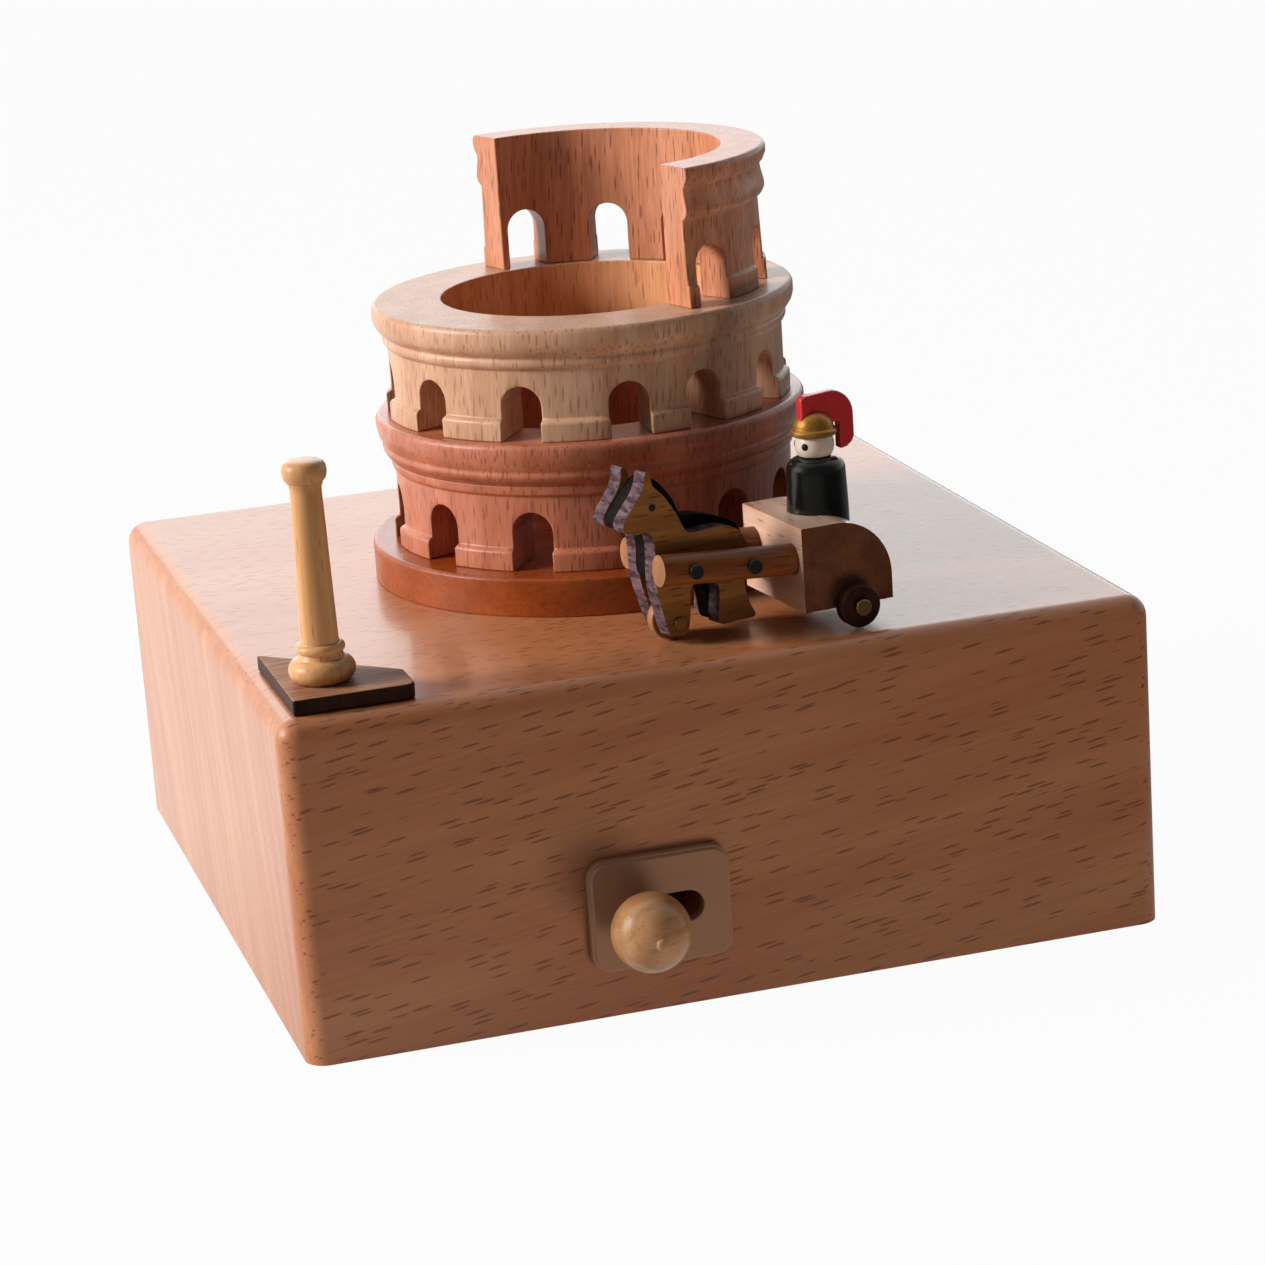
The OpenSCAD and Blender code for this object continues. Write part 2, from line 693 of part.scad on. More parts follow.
module arena_middle_tier() {
    w = middle_wall_r;
    p = middle_rim_proud;
    h = middle_height;
    color("burlywood") translate([0, 0, middle_z]) difference() {
        rotate_extrude($fn = 128) polygon([[well_r, 0], [w + band_proud, 0],
            [w + band_proud, band_height - 0.3], [w + band_proud - 0.3, band_height], [w, band_height + 0.2],
            [w, h - 5.9], [w + 0.18 * p, h - 5.7], [w + 0.36 * p, h - 5.2],
            [w + 0.36 * p, h - 4.6], [w + 0.22 * p, h - 4.2], [w + 0.6 * p, h - 3.6],
            [w + 0.86 * p, h - 2.9], [w + p, h - 2], [w + p, h - 0.8], [w + 0.88 * p, h - 0.25],
            [w + 0.66 * p, h], [well_r, h]]);
        arches(middle_arches, middle_arch, well_r - 2);
    }
}

module arena_upper_tier() {
    w = upper_wall_r;
    p = upper_rim_proud;
    h = upper_height;
    color("sienna") translate([0, 0, upper_z]) difference() {
        rotate_extrude($fn = 128) polygon([[upper_bore_r, 0], [w + band_proud, 0],
            [w + band_proud - 0.1, band_height], [w + 0.3, band_height + 0.2], [w, h - 7.4],
            [w + 0.5 * p, h - 6.9], [w + 0.74 * p, h - 6.2], [w + 0.7 * p, h - 5.6], [w + 0.42 * p, h - 3.8],
            [w + 0.36 * p, h - 2.9], [w + 0.74 * p, h - 2.3], [w + p, h - 1.4], [w + p, h - 0.7],
            [w + 0.86 * p, h - 0.2], [w + 0.62 * p, h], [upper_bore_r, h]]);
        arches(upper_arches, upper_arch, upper_bore_r - 2);
        rotate([0, 0, upper_facing]) translate([upper_cut - 60, -60, -1]) cube([60, 120, h + 2]);
    }
}

// Column
module column_plinth() {
    x0 = -half + plinth_inset;
    color("#3a2a24") translate([0, 0, top_z]) linear_extrude(plinth_thick)
        polygon([[x0, x0], [x0 + plinth_short - 1.2, x0], [x0 + plinth_short - 0.35, x0 + 0.35],
            [x0 + plinth_short, x0 + 1.2], [x0 + plinth_short, x0 + plinth_long - plinth_short],
            [x0, x0 + plinth_long]]);
}

module column() {
    h = column_height;
    f = column_foot_d / 2;
    l = column_low_d / 2;
    u = column_high_d / 2;
    c = column_cap_d / 2;
    x0 = -half + plinth_inset;
    color("tan") translate([x0 + column_x, x0 + column_y, top_z + plinth_thick])
        rotate_extrude() polygon(concat([[0, 0]], bow(f - 1.6, 1.6, 1.6, -90, 80, 8), [[f - 1.4, 3.3]],
            bow(l + 0.1, 4.5, 0.65, -70, 90, 6), [[l, 5.4], [l - 0.1, 9], [u + 0.05, h - 6], [u, h - 4.4]],
            [[u + 0.15, h - 3.7], [c - 0.5, h - 3.1]], bow(c - 0.9, h - 2.1, 0.9, -50, 40, 6),
            [[c - 0.6, h - 0.8], [c * 0.6, h - 0.2], [0, h]]));
}

// Winding
module winding_arbor() {
    color("silver") {
        translate([0, 0, 3]) cylinder(r = arbor_r, h = crown_z0 - 1 - 3);
        translate([0, 0, floor_z - 1.7]) cylinder(r = arbor_r + 1.3, h = 1.4);
    }
}

module winding_key() {
    key_z = recess_depth / 2;
    color("goldenrod") difference() {
        union() {
            translate([0, 0, 2]) cylinder(r = arbor_r + 1.3, h = recess_depth - 2.6);
            translate([0, key_thick / 2, key_z]) rotate([90, 0, 0]) linear_extrude(key_thick) {
                square([2 * (key_reach - key_wing_r), 1.5 * key_wing_r], center = true);
                for (s = [-1, 1]) translate([s * (key_reach - key_wing_r), 0]) circle(key_wing_r);
            }
        }
        translate([0, 0, 3 - fit]) cylinder(r = arbor_r + fit, h = recess_depth);
        for (s = [-1, 1]) translate([s * (key_reach - key_wing_r), 0, key_z]) rotate([90, 0, 0])
            cylinder(r = key_wing_r * 0.45, h = 4 * key_thick, center = true);
    }
}

// Movement
module bed_outline() {
    circle(barrel_r + bed_margin);
    translate([0, frame_col - bed_edge]) square([gov_x + bed_margin, comb_y2 + 0.6 - frame_col + bed_edge]);
}

module bedplate() {
    color("silver") in_movement() difference() {
        union() {
            translate([0, 0, floor_z]) linear_extrude(bed_thick) intersection() {
                bed_outline();
                circle(chamber_r - 0.6, $fn = 128);
            }
            translate([0, 0, floor_z]) cylinder(r = arbor_r + 2, h = bed_thick + 0.3);
        }
        translate([0, 0, floor_z - bed_thick / 2]) {
            cylinder(r = arbor_r + run_gap, h = 3 * bed_thick);
            for (p = bed_screws) translate([p[0], p[1], 0])
                cylinder(d = screw_d + 2 * fit, h = 3 * bed_thick);
            for (p = bracket_screws_at) translate([p[0], p[1], 0.6 * bed_thick])
                cylinder(d = screw_d + 2 * fit, h = 3 * bed_thick);
            for (x = comb_screw_x) translate([x, comb_screw_y, 0.6 * bed_thick])
                cylinder(d = screw_d + 2 * fit, h = 3 * bed_thick);
        }
    }
}

module bedplate_screws() {
    color("gray") in_movement() for (p = bed_screws)
        translate([p[0], p[1], recess_depth]) rotate([180, 0, 0])
            screw(screw_d, cover_thick + bed_thick, screw_d * 1.9, 1.1);
}

module spring_barrel() {
    color("goldenrod") difference() {
        translate([0, 0, barrel_z0]) cylinder(r = barrel_r, h = crown_z0 - barrel_z0);
        translate([0, 0, barrel_z0 + 1.2]) cylinder(r = barrel_r - barrel_wall, h = crown_z0 - barrel_z0);
        translate([0, 0, barrel_z0 - 1]) cylinder(r = arbor_r + run_gap, h = 4);
    }
}

module mainspring() {
    r0 = arbor_r + 0.8;
    r1 = barrel_r - barrel_wall - 0.1 - spring_thick;
    n = spring_turns * 16;
    inner = [for (i = [0 : n]) let (r = r0 + (r1 - r0) * i / n) [r * cos(22.5 * i), r * sin(22.5 * i)]];
    outer = [for (i = [0 : n]) let (k = n - i, r = r0 + spring_thick + (r1 - r0) * k / n)
        [r * cos(22.5 * k), r * sin(22.5 * k)]];
    color("dimgray") translate([0, 0, barrel_z0 + 1.6]) linear_extrude(crown_z0 - barrel_z0 - 2)
        polygon(concat(inner, outer));
}

module crown_gear() {
    step = 360 / crown_teeth;
    color("gold") in_movement() difference() {
        union() {
            translate([0, 0, crown_z0]) cylinder(r = barrel_r, h = crown_thick);
            translate([0, 0, crown_z0]) cylinder(r = shaft_r + 2.2, h = crown_thick + 3);
            for (i = [0 : crown_teeth - 1]) rotate([0, 0, step * (i + 0.5)])
                translate([crown_r - crown_face / 2, 0, crown_z1 - 0.2])
                    rotate([90, 0, 90]) linear_extrude(crown_face)
                        polygon([[-0.42, 0], [0.42, 0], [0.42, 0.2], [0.2, crown_tooth + 0.2],
                            [-0.2, crown_tooth + 0.2], [-0.42, 0.2]]);
        }
        translate([0, 0, crown_z0 - 1]) cylinder(r = shaft_r + fit, h = crown_thick + 5);
    }
}

module output_shaft() {
    color("silver") difference() {
        translate([0, 0, crown_z0 + 0.1]) cylinder(r = shaft_r, h = arm_z0 - crown_z0 - 0.1);
        translate([0, 0, arm_z0 - 4]) cylinder(d = screw_d + 2 * fit, h = 5);
    }
}

module magnet_arm() {
    color("gainsboro") translate([0, 0, arm_z0]) difference() {
        linear_extrude(arm_thick) {
            circle(shaft_r + 2.6);
            rotate(magnet_angle) {
                translate([0, -arm_width / 2]) square([magnet_r, arm_width]);
                translate([magnet_r, 0]) circle(arm_width / 2);
            }
        }
        translate([0, 0, -1]) cylinder(d = screw_d + 0.2, h = arm_thick + 2);
    }
}

module arm_screw() {
    color("gray") translate([0, 0, arm_z1]) screw(screw_d, arm_thick + 3, screw_d * 1.9, 1);
}

module drive_magnet() {
    color("slategray") rotate([0, 0, magnet_angle]) translate([magnet_r, 0, arm_z1])
        cylinder(d = magnet_d, h = magnet_h);
}

module music_cylinder() {
    color("gold") in_movement() difference() {
        union() {
            along_x(drum_x0, 0, axis_z) cylinder(r = drum_r, h = drum_len);
            for (i = [0 : comb_teeth - 1], j = [0 : 1])
                translate([drum_x0 + (i + 0.5) * comb_pitch, 0, axis_z]) rotate([i * 47 + j * 163, 0, 0])
                    translate([0, 0, drum_r - 0.4]) cylinder(d = pin_d, h = pin_length + 0.4);
        }
        along_x(drum_x0 - 1, 0, axis_z) cylinder(d = drum_arbor_d + 2 * fit, h = drum_len + 2);
    }
}

module cylinder_arbor() {
    color("silver") in_movement() along_x(crown_r - crown_face / 2 - 0.6, 0, axis_z)
        cylinder(d = drum_arbor_d, h = gov_x - 1.6 - crown_r + crown_face / 2 + 0.6);
}

module cylinder_pinion() {
    color("gold") in_movement() difference() {
        along_x(crown_r - crown_face / 2, 0, axis_z)
            spur(pinion_teeth, pinion_r - crown_tooth * 0.6, pinion_r + crown_tooth * 0.4, 0.84, 0.4, 0,
                crown_face);
        along_x(crown_r - crown_face / 2 - 1, 0, axis_z)
            cylinder(d = drum_arbor_d + 2 * fit, h = crown_face + 2);
    }
}

module cylinder_wheel() {
    color("gold") in_movement() difference() {
        translate([wheel_x0, 0, axis_z]) rotate([90, 0, 90])
            spur(wheel_teeth, wheel_pitch - 1.25 * train_module, wheel_pitch + 0.8 * train_module,
                1.4 * train_module, 0.6 * train_module, line_angle, wheel_face);
        along_x(wheel_x0 - 1, 0, axis_z) cylinder(d = drum_arbor_d + 2 * fit, h = wheel_face + 2);
    }
}

module bearing_near() {
    color("silver") in_movement() difference() {
        union() {
            translate([post_x, -post_width / 2, bed_z])
                cube([post_thick, post_width, axis_z + post_width / 2 - bed_z]);
            translate([post_x, -post_width / 2, bed_z])
                cube([post_thick + foot_length, post_width, bracket_foot]);
        }
        along_x(post_x - 1, 0, axis_z) cylinder(d = drum_arbor_d + 2 * run_gap, h = post_thick + 2);
        translate([bracket_screws_at[0][0], 0, bed_z - 1]) cylinder(d = screw_d + 0.2, h = 4);
    }
}

module bearing_far() {
    color("silver") in_movement() difference() {
        union() {
            translate([far_x, second_y - 2.4, bed_z])
                cube([far_thick, post_width / 2 + 2.4 - second_y, axis_z + post_width / 2 - bed_z]);
            translate([far_x - foot_length, -post_width / 2, bed_z])
                cube([foot_length + far_thick, post_width, bracket_foot]);
        }
        along_x(far_x - 1, 0, axis_z) cylinder(d = drum_arbor_d + 2 * run_gap, h = far_thick + 2);
        along_x(far_x - 1, second_y, second_z) cylinder(d = second_d + 2 * run_gap, h = far_thick + 2);
        translate([bracket_screws_at[1][0], 0, bed_z - 1]) cylinder(d = screw_d + 0.2, h = 4);
    }
}

module bracket_screws() {
    color("gray") in_movement() for (p = bracket_screws_at)
        translate([p[0], p[1], bed_z + bracket_foot]) screw(screw_d, bracket_foot + 1.7, screw_d * 1.7, 0.9);
}

module comb() {
    color("gainsboro") in_movement() difference() {
        translate([drum_x0, comb_y0, comb_z0]) cube([drum_len, comb_y2 - comb_y0, comb_thick]);
        for (i = [1 : comb_teeth - 1])
            translate([drum_x0 + i * comb_pitch - comb_slit / 2, comb_y0 - 1, comb_z0 - 1])
                cube([comb_slit, comb_tooth_len + 1, comb_thick + 2]);
        for (x = comb_screw_x) translate([x, comb_screw_y, comb_z0 - 1])
            cylinder(d = screw_d + 0.3, h = comb_thick + 2);
    }
}

module comb_base() {
    color("dimgray") in_movement() difference() {
        translate([drum_x0, comb_y1 + 0.6, bed_z]) cube([drum_len, comb_back - 0.6, comb_z0 - bed_z]);
        for (x = comb_screw_x) translate([x, comb_screw_y, bed_z - 1])
            cylinder(d = screw_d + 0.2, h = comb_z0 - bed_z + 2);
    }
}

module comb_screws() {
    color("gray") in_movement() for (x = comb_screw_x)
        translate([x, comb_screw_y, comb_z0 + comb_thick])
            screw(screw_d, comb_z0 + comb_thick - bed_z + 1.6, screw_d * 2, 1.2);
}

// Governor
module governor_frame() {
    leg_x = gov_x + 2.2;
    color("silver") in_movement() difference() {
        union() {
            translate([gov_x - 2.4, frame_col - frame_foot, bed_z])
                cube([4.8, worm_y + 2.4 - frame_col + frame_foot, bracket_foot]);
            translate([gov_x - 2, frame_col - 1.5, bed_z]) cube([4, 1.5, frame_top - bed_z]);
            translate([gov_x - 2, frame_col - 1.5, frame_top - 1.4])
                cube([4, worm_y + 1.8 - frame_col + 1.5, 1.4]);
            translate([leg_x - 0.6, frame_col - 1.5, frame_top - 1.4])
                cube([1.8, second_y + 2 - frame_col + 1.5, 1.4]);
            translate([leg_x, second_y - 2, second_z - 2]) cube([1.2, 4, frame_top - second_z + 2]);
        }
        translate([gov_x, worm_y, bed_z - 1]) cylinder(d = 0.8 + 2 * run_gap, h = frame_top - bed_z + 2);
        along_x(leg_x - 1, second_y, second_z) cylinder(d = second_d + 2 * run_gap, h = 4);
        translate([bracket_screws_at[2][0], bracket_screws_at[2][1], bed_z - 1])
            cylinder(d = screw_d + 0.2, h = 4);
    }
}

module second_arbor() {
    color("silver") in_movement() {
        along_x(far_x - 0.4, second_y, second_z) cylinder(d = second_d, h = gov_x + 3.8 - far_x);
        translate([wheel_x0 - 0.2, second_y, second_z]) rotate([90, 0, 90])
            spur(second_teeth, second_pitch - 1.25 * train_module, second_pitch + 0.8 * train_module,
                1.4 * train_module, 0.6 * train_module, line_angle + 180 + 180 / second_teeth,
                wheel_face + 0.4);
    }
}

module worm_wheel() {
    color("gold") in_movement() difference() {
        translate([gov_x - 0.6, second_y, second_z]) rotate([90, 0, 90])
            spur(worm_teeth, worm_wheel_r - 0.55, worm_wheel_r + 0.32, 0.56, 0.3, 180 + 180 / worm_teeth,
                1.2);
        along_x(gov_x - 2, second_y, second_z) cylinder(d = second_d + 2 * fit, h = 4);
    }
}

module worm_thread() {
    turns = worm_len / worm_lead;
    lobe = [[worm_r - 0.45, -38], [worm_r, -26], [worm_r + 0.32, -16], [worm_r + 0.32, 0],
        [worm_r + 0.32, 16], [worm_r, 26], [worm_r - 0.45, 38], [worm_r - 0.45, 64], [worm_r - 0.45, 90],
        [worm_r - 0.45, 116]];
    rotate([0, 0, 90 - 180 * turns])
        linear_extrude(height = worm_len, twist = -360 * turns, center = true, slices = 26)
            polygon([for (c = [0, 180]) for (p = lobe) [p[0] * cos(c + p[1]), p[0] * sin(c + p[1])]]);
}

module worm_shaft() {
    color("silver") in_movement() translate([gov_x, worm_y, 0]) {
        translate([0, 0, second_z]) worm_thread();
        translate([0, 0, bed_z + 1.6]) cylinder(d = 1.6, h = frame_top - 1.7 - bed_z - 1.6);
        translate([0, 0, bed_z + 0.4]) cylinder(d = 0.8, h = frame_top - 0.2 - bed_z - 0.4);
    }
}

module governor_fly() {
    color("darkslategray") in_movement() translate([gov_x, worm_y, 0]) difference() {
        union() {
            translate([0, 0, brake_z0]) cylinder(d = 3, h = fly_z0 + fly_height - brake_z0);
            translate([-fly_r, -0.3, fly_z0]) cube([2 * fly_r, 0.6, fly_height]);
            translate([0, 0, brake_z0]) cylinder(r = brake_r, h = brake_thick);
        }
        translate([0, 0, brake_z0 - 1]) cylinder(d = 1.6 + 2 * fit, h = fly_height + brake_thick + 4);
    }
}

// Horse
side_outline = [[-13.9, 22.5], [-13.6, 23.9], [-12.9, 23.7], [-12.6, 22.1], [-11.2, 20.6], [-9.6, 18.1],
    [-8.8, 16.4], [-7.9, 15.1], [-5.6, 15.1], [-3.1, 15.2], [-0.7, 14.3], [0.5, 12], [0.7, 9.6], [-0.2, 7.4],
    [0.3, 4.3], [1.05, 2.7], [0.8, 2], [-1.7, 1.9], [-4.3, 2], [-4.1, 5], [-4.2, 7.3], [-6.1, 8.1],
    [-8, 7.6], [-8.25, 5], [-8.8, 1.7], [-10.2, 1.4], [-11.4, 1.5], [-12.3, 4.7], [-13.05, 8.6], [-12.9, 13],
    [-13.1, 15], [-13.9, 16], [-15.3, 15.9], [-16.9, 16.4], [-17.1, 17.6], [-16.1, 19.1], [-14.6, 21]];
core_outline = [[-13.2, 22.1], [-12, 22.8], [-10.7, 22.2], [-9.5, 20.9], [-8.4, 19.2], [-7.7, 17.4],
    [-6.8, 16.8], [-5.1, 16.8], [-2.1, 15.9], [0.3, 14.6], [1.2, 12], [0.6, 9], [-0.6, 7], [-0.4, 4],
    [-0.8, 2], [-2.5, 1.9], [-4.5, 2.1], [-4.9, 4.6], [-5.6, 7.3], [-8, 8.4], [-11, 8.6],
    [-13, 9.6], [-12.9, 13], [-13.1, 15],
    [-13.9, 16], [-15.2, 15.9], [-16.6, 16.5], [-16.8, 17.6], [-15.9, 18.9], [-14.5, 20.7]];

module nail_holes() {
    for (x = [nail_x1, nail_x2]) across(x, pole_rise - (x - nail_x1) * tan(pole_fall))
        cylinder(d = nail_d + 2 * fit, h = 60, center = true);
}

// One ply, sheared as the slanting saw left it, with the near face of the near ply square
module sawn_ply(s) {
    across_y = saw_slant / horse_ply;
    up_z = (s + 1) * saw_twist / (saw_z1 - saw_z0);
    translate([0, (s - 0.5) * horse_ply, 0])
        multmatrix([[1, -across_y, -up_z, up_z * saw_z0], [0, 1, 0, 0], [0, 0, 1, 0], [0, 0, 0, 1]])
            translate([0, horse_ply, 0]) rotate([90, 0, 0]) linear_extrude(horse_ply) children();
}

module horse_side(s) {
    color("#5a3b22") in_chariot() difference() {
        sawn_ply(s) polygon(smooth(side_outline, 3));
        across(front_axle_x, front_axle_z) cylinder(d = front_axle_d + 2 * fit, h = 60, center = true);
        nail_holes();
    }
}

module horse_side_left() {
    horse_side(-1);
}

module horse_side_right() {
    horse_side(1);
}

module horse_core() {
    color("#2c2c2c") in_chariot() difference() {
        sawn_ply(0) polygon(smooth(core_outline, 3));
        nail_holes();
    }
}

module pole_bar(s, d, len) {
    lag = s > 0 ? pole_lag : 0;
    translate([nail_x1, s * pole_y, pole_rise]) rotate([0, 90 + pole_fall, 0])
        translate([0, 0, (pole_x0 + lag - nail_x1) / cos(pole_fall)]) cylinder(d = d, h = len);
}

module pole(s) {
    color("#6b4526") in_chariot() difference() {
        pole_bar(s, pole_d, pole_length);
        nail_holes();
    }
}

module pole_left() {
    pole(-1);
}

module pole_right() {
    pole(1);
}

module pole_pins() {
    out = pole_y + pole_d / 2;
    color("#222222") in_chariot() for (x = [nail_x1, nail_x2], s = [-1, 1])
        translate([x, s * out, pole_rise - (x - nail_x1) * tan(pole_fall)]) rotate([s * 90, 0, 0]) {
            cylinder(d = nail_d, h = out - horse_ply / 2 + 0.2);
            translate([0, 0, -0.5]) cylinder(d = nail_head_d, h = 0.5);
        }
}

module front_axle() {
    color("gray") in_chariot() across(front_axle_x, front_axle_z) {
        cylinder(d = front_axle_d, h = 2 * horse_half, center = true);
        for (s = [-1, 1]) translate([0, 0, s * (horse_half + 0.2)])
            cylinder(d = front_axle_d + 0.3, h = 0.4, center = true);
    }
}

module front_wheel() {
    color("wheat") in_chariot() across(front_axle_x, front_axle_z) difference() {
        cylinder(r = front_wheel_r, h = front_wheel_thick, center = true);
        cylinder(d = front_axle_d + 2 * run_gap, h = 9, center = true);
    }
}

// Chariot
module block_outline() {
    translate([block_front, block_clear]) square([block_length - block_round, block_height]);
    translate([block_front, block_clear]) square([block_length, block_height - block_round]);
    translate([block_back - block_round, block_top - block_round]) circle(block_round);
}

module chariot_block() {
    color("wheat") in_chariot() difference() {
        translate([0, block_half, 0]) rotate([90, 0, 0]) linear_extrude(block_width) intersection() {
            block_outline();
            translate([block_front, block_clear]) square([block_length, block_height]);
        }
        across(axle_x, axle_z) cylinder(d = axle_d + 2 * run_gap, h = 60, center = true);
        for (s = [-1, 1]) pole_bar(s, pole_d + 2 * fit, pole_length + fit);
        translate([figure_x, 0, block_top - figure_sink])
            cylinder(d = figure_d + 2 * fit, h = figure_sink + 1);
        translate([chariot_magnet_x, 0, block_clear - 1])
            cylinder(d = chariot_magnet_d + 2 * fit, h = chariot_magnet_h + 1);
    }
}

module chariot_magnet() {
    color("slategray") in_chariot() translate([chariot_magnet_x, 0, block_clear])
        cylinder(d = chariot_magnet_d, h = chariot_magnet_h);
}

module chariot_axle() {
    color("goldenrod") in_chariot() across(axle_x, axle_z) {
        cylinder(d = axle_d, h = 2 * wheel_out, center = true);
        for (s = [-1, 1]) translate([0, 0, s * (wheel_out + 0.4)])
            cylinder(d = axle_d + 0.6, h = 0.8, center = true);
    }
}

module chariot_wheel(s) {
    color("#4a2c1c") in_chariot() across(axle_x, axle_z)
        translate([0, 0, -s * (wheel_in + wheel_thick / 2)]) difference() {
            cylinder(r = wheel_r, h = wheel_thick, center = true);
            cylinder(d = axle_d + 2 * fit, h = 9, center = true);
        }
}

module chariot_wheel_left() {
    chariot_wheel(-1);
}

module chariot_wheel_right() {
    chariot_wheel(1);
}

// Charioteer
module charioteer_body() {
    r = figure_d / 2;
    h = figure_height;
    color("#151515") in_chariot() translate([figure_x, 0, block_top]) rotate_extrude()
        polygon(concat([[0, -figure_sink], [r, -figure_sink], [r, 0], [r - 0.2, h - 2.2]],
            bow(r - 2, h - 2, 1.8, 10, 80, 6), [[head_d * 0.34, h], [0, h]]));
}

module charioteer_head() {
    color("white") in_chariot() translate([figure_x, 0, 0]) intersection() {
        translate([0, 0, head_z]) sphere(d = head_d);
        translate([0, 0, (neck_z + brim_z) / 2]) cube([20, 20, brim_z - neck_z], center = true);
    }
}

module charioteer_helmet() {
    color("goldenrod") in_chariot() translate([figure_x, 0, brim_z]) difference() {
        rotate_extrude() polygon(concat([[0, 0], [brim_d / 2 - 0.3, 0], [brim_d / 2, 0.3]],
            [[brim_d / 2, 0.7], [brim_d / 2 - 0.3, 1]],
            [for (i = [0 : 8]) [dome_r * cos(i * 11.25), brim_thick + dome_height * sin(i * 11.25)]]));
        crest_slot(fit);
    }
}

module crest_slot(g) {
    translate([-brim_d / 2 + 1, -crest_thick / 2 - g, brim_thick + 0.4 - g])
        cube([brim_d, crest_thick + 2 * g, 9]);
}

module charioteer_crest() {
    x0 = -brim_d / 2 + 1 + fit;
    x1 = x0 + crest_length;
    h = crest_top - brim_z;
    low = brim_thick + 0.4;
    color("firebrick") in_chariot() translate([figure_x, crest_thick / 2, brim_z]) rotate([90, 0, 0])
        linear_extrude(crest_thick)
            polygon(concat([[x0, low], [brim_d / 2 + 0.3, low], [brim_d / 2 + 0.3, -2.4]],
            [[x1 - 1.2, -2.2], [x1 - 0.4, -1.6], [x1, -0.8]], bow(x1 - 3.4, h - 3.4, 3.4, 0, 84, 7),
            [[x0 + 0.8, h - 0.3], [x0, h - 0.6]]));
}

case();
bottom_cover();
cover_screws();
slot_plate();
stop_knob();
stop_stem();
stop_slider();
slider_guide();
guide_screws();
arena_disc();
arena_lower_tier();
arena_middle_tier();
arena_upper_tier();
column_plinth();
column();
bedplate();
bedplate_screws();
spring_barrel();
mainspring();
crown_gear();
output_shaft();
magnet_arm();
arm_screw();
drive_magnet();
winding_arbor();
winding_key();
music_cylinder();
cylinder_arbor();
cylinder_pinion();
cylinder_wheel();
bearing_near();
bearing_far();
bracket_screws();
comb();
comb_base();
comb_screws();
governor_frame();
second_arbor();
worm_wheel();
worm_shaft();
governor_fly();
horse_side_left();
horse_side_right();
horse_core();
pole_left();
pole_right();
pole_pins();
front_axle();
front_wheel();
chariot_block();
chariot_axle();
chariot_wheel_left();
chariot_wheel_right();
chariot_magnet();
charioteer_body();
charioteer_head();
charioteer_helmet();
charioteer_crest();
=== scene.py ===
import bmesh
import bpy
import json
import math
from mathutils import Matrix, Vector


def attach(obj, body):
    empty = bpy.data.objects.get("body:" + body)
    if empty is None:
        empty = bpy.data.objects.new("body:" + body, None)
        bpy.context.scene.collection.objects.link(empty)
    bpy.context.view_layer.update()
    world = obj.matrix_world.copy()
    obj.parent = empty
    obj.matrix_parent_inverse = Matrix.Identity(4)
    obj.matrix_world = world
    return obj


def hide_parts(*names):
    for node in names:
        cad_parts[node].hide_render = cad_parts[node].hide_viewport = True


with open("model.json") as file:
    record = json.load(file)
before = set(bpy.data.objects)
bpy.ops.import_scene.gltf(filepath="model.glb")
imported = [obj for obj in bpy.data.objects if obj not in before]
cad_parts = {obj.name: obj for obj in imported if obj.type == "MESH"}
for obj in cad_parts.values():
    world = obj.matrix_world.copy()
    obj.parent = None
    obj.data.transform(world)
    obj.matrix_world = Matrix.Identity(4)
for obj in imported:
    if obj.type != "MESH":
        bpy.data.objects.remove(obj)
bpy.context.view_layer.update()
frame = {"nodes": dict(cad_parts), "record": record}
nodes = frame["nodes"]
mm = 0.001
print("frame loaded with", len(nodes), "nodes")


# sRGB hex to the linear values that shaders take
def linear(hexColour):
    parts = [int(hexColour[i:i + 2], 16) / 255 for i in (1, 3, 5)]
    return [p / 12.92 if p <= 0.04045 else ((p + 0.055) / 1.055) ** 2.4 for p in parts] + [1.0]


# One shader node with its settings and links
def addNode(tree, kind, settings=None, links=None):
    node = tree.nodes.new(kind)
    for key, value in (settings or {}).items():
        if isinstance(key, int) or key in node.inputs:
            node.inputs[key].default_value = value
        else:
            setattr(node, key, value)
    for key, socket in (links or {}).items():
        tree.links.new(socket, node.inputs[key])
    return node


def newMaterial(name):
    material = bpy.data.materials.new(name)
    material.use_nodes = True
    material.node_tree.nodes.clear()
    return material, material.node_tree


# Where most of a noise texture's values lie
noiseSpan = {"From Min": 0.3, "From Max": 0.7}


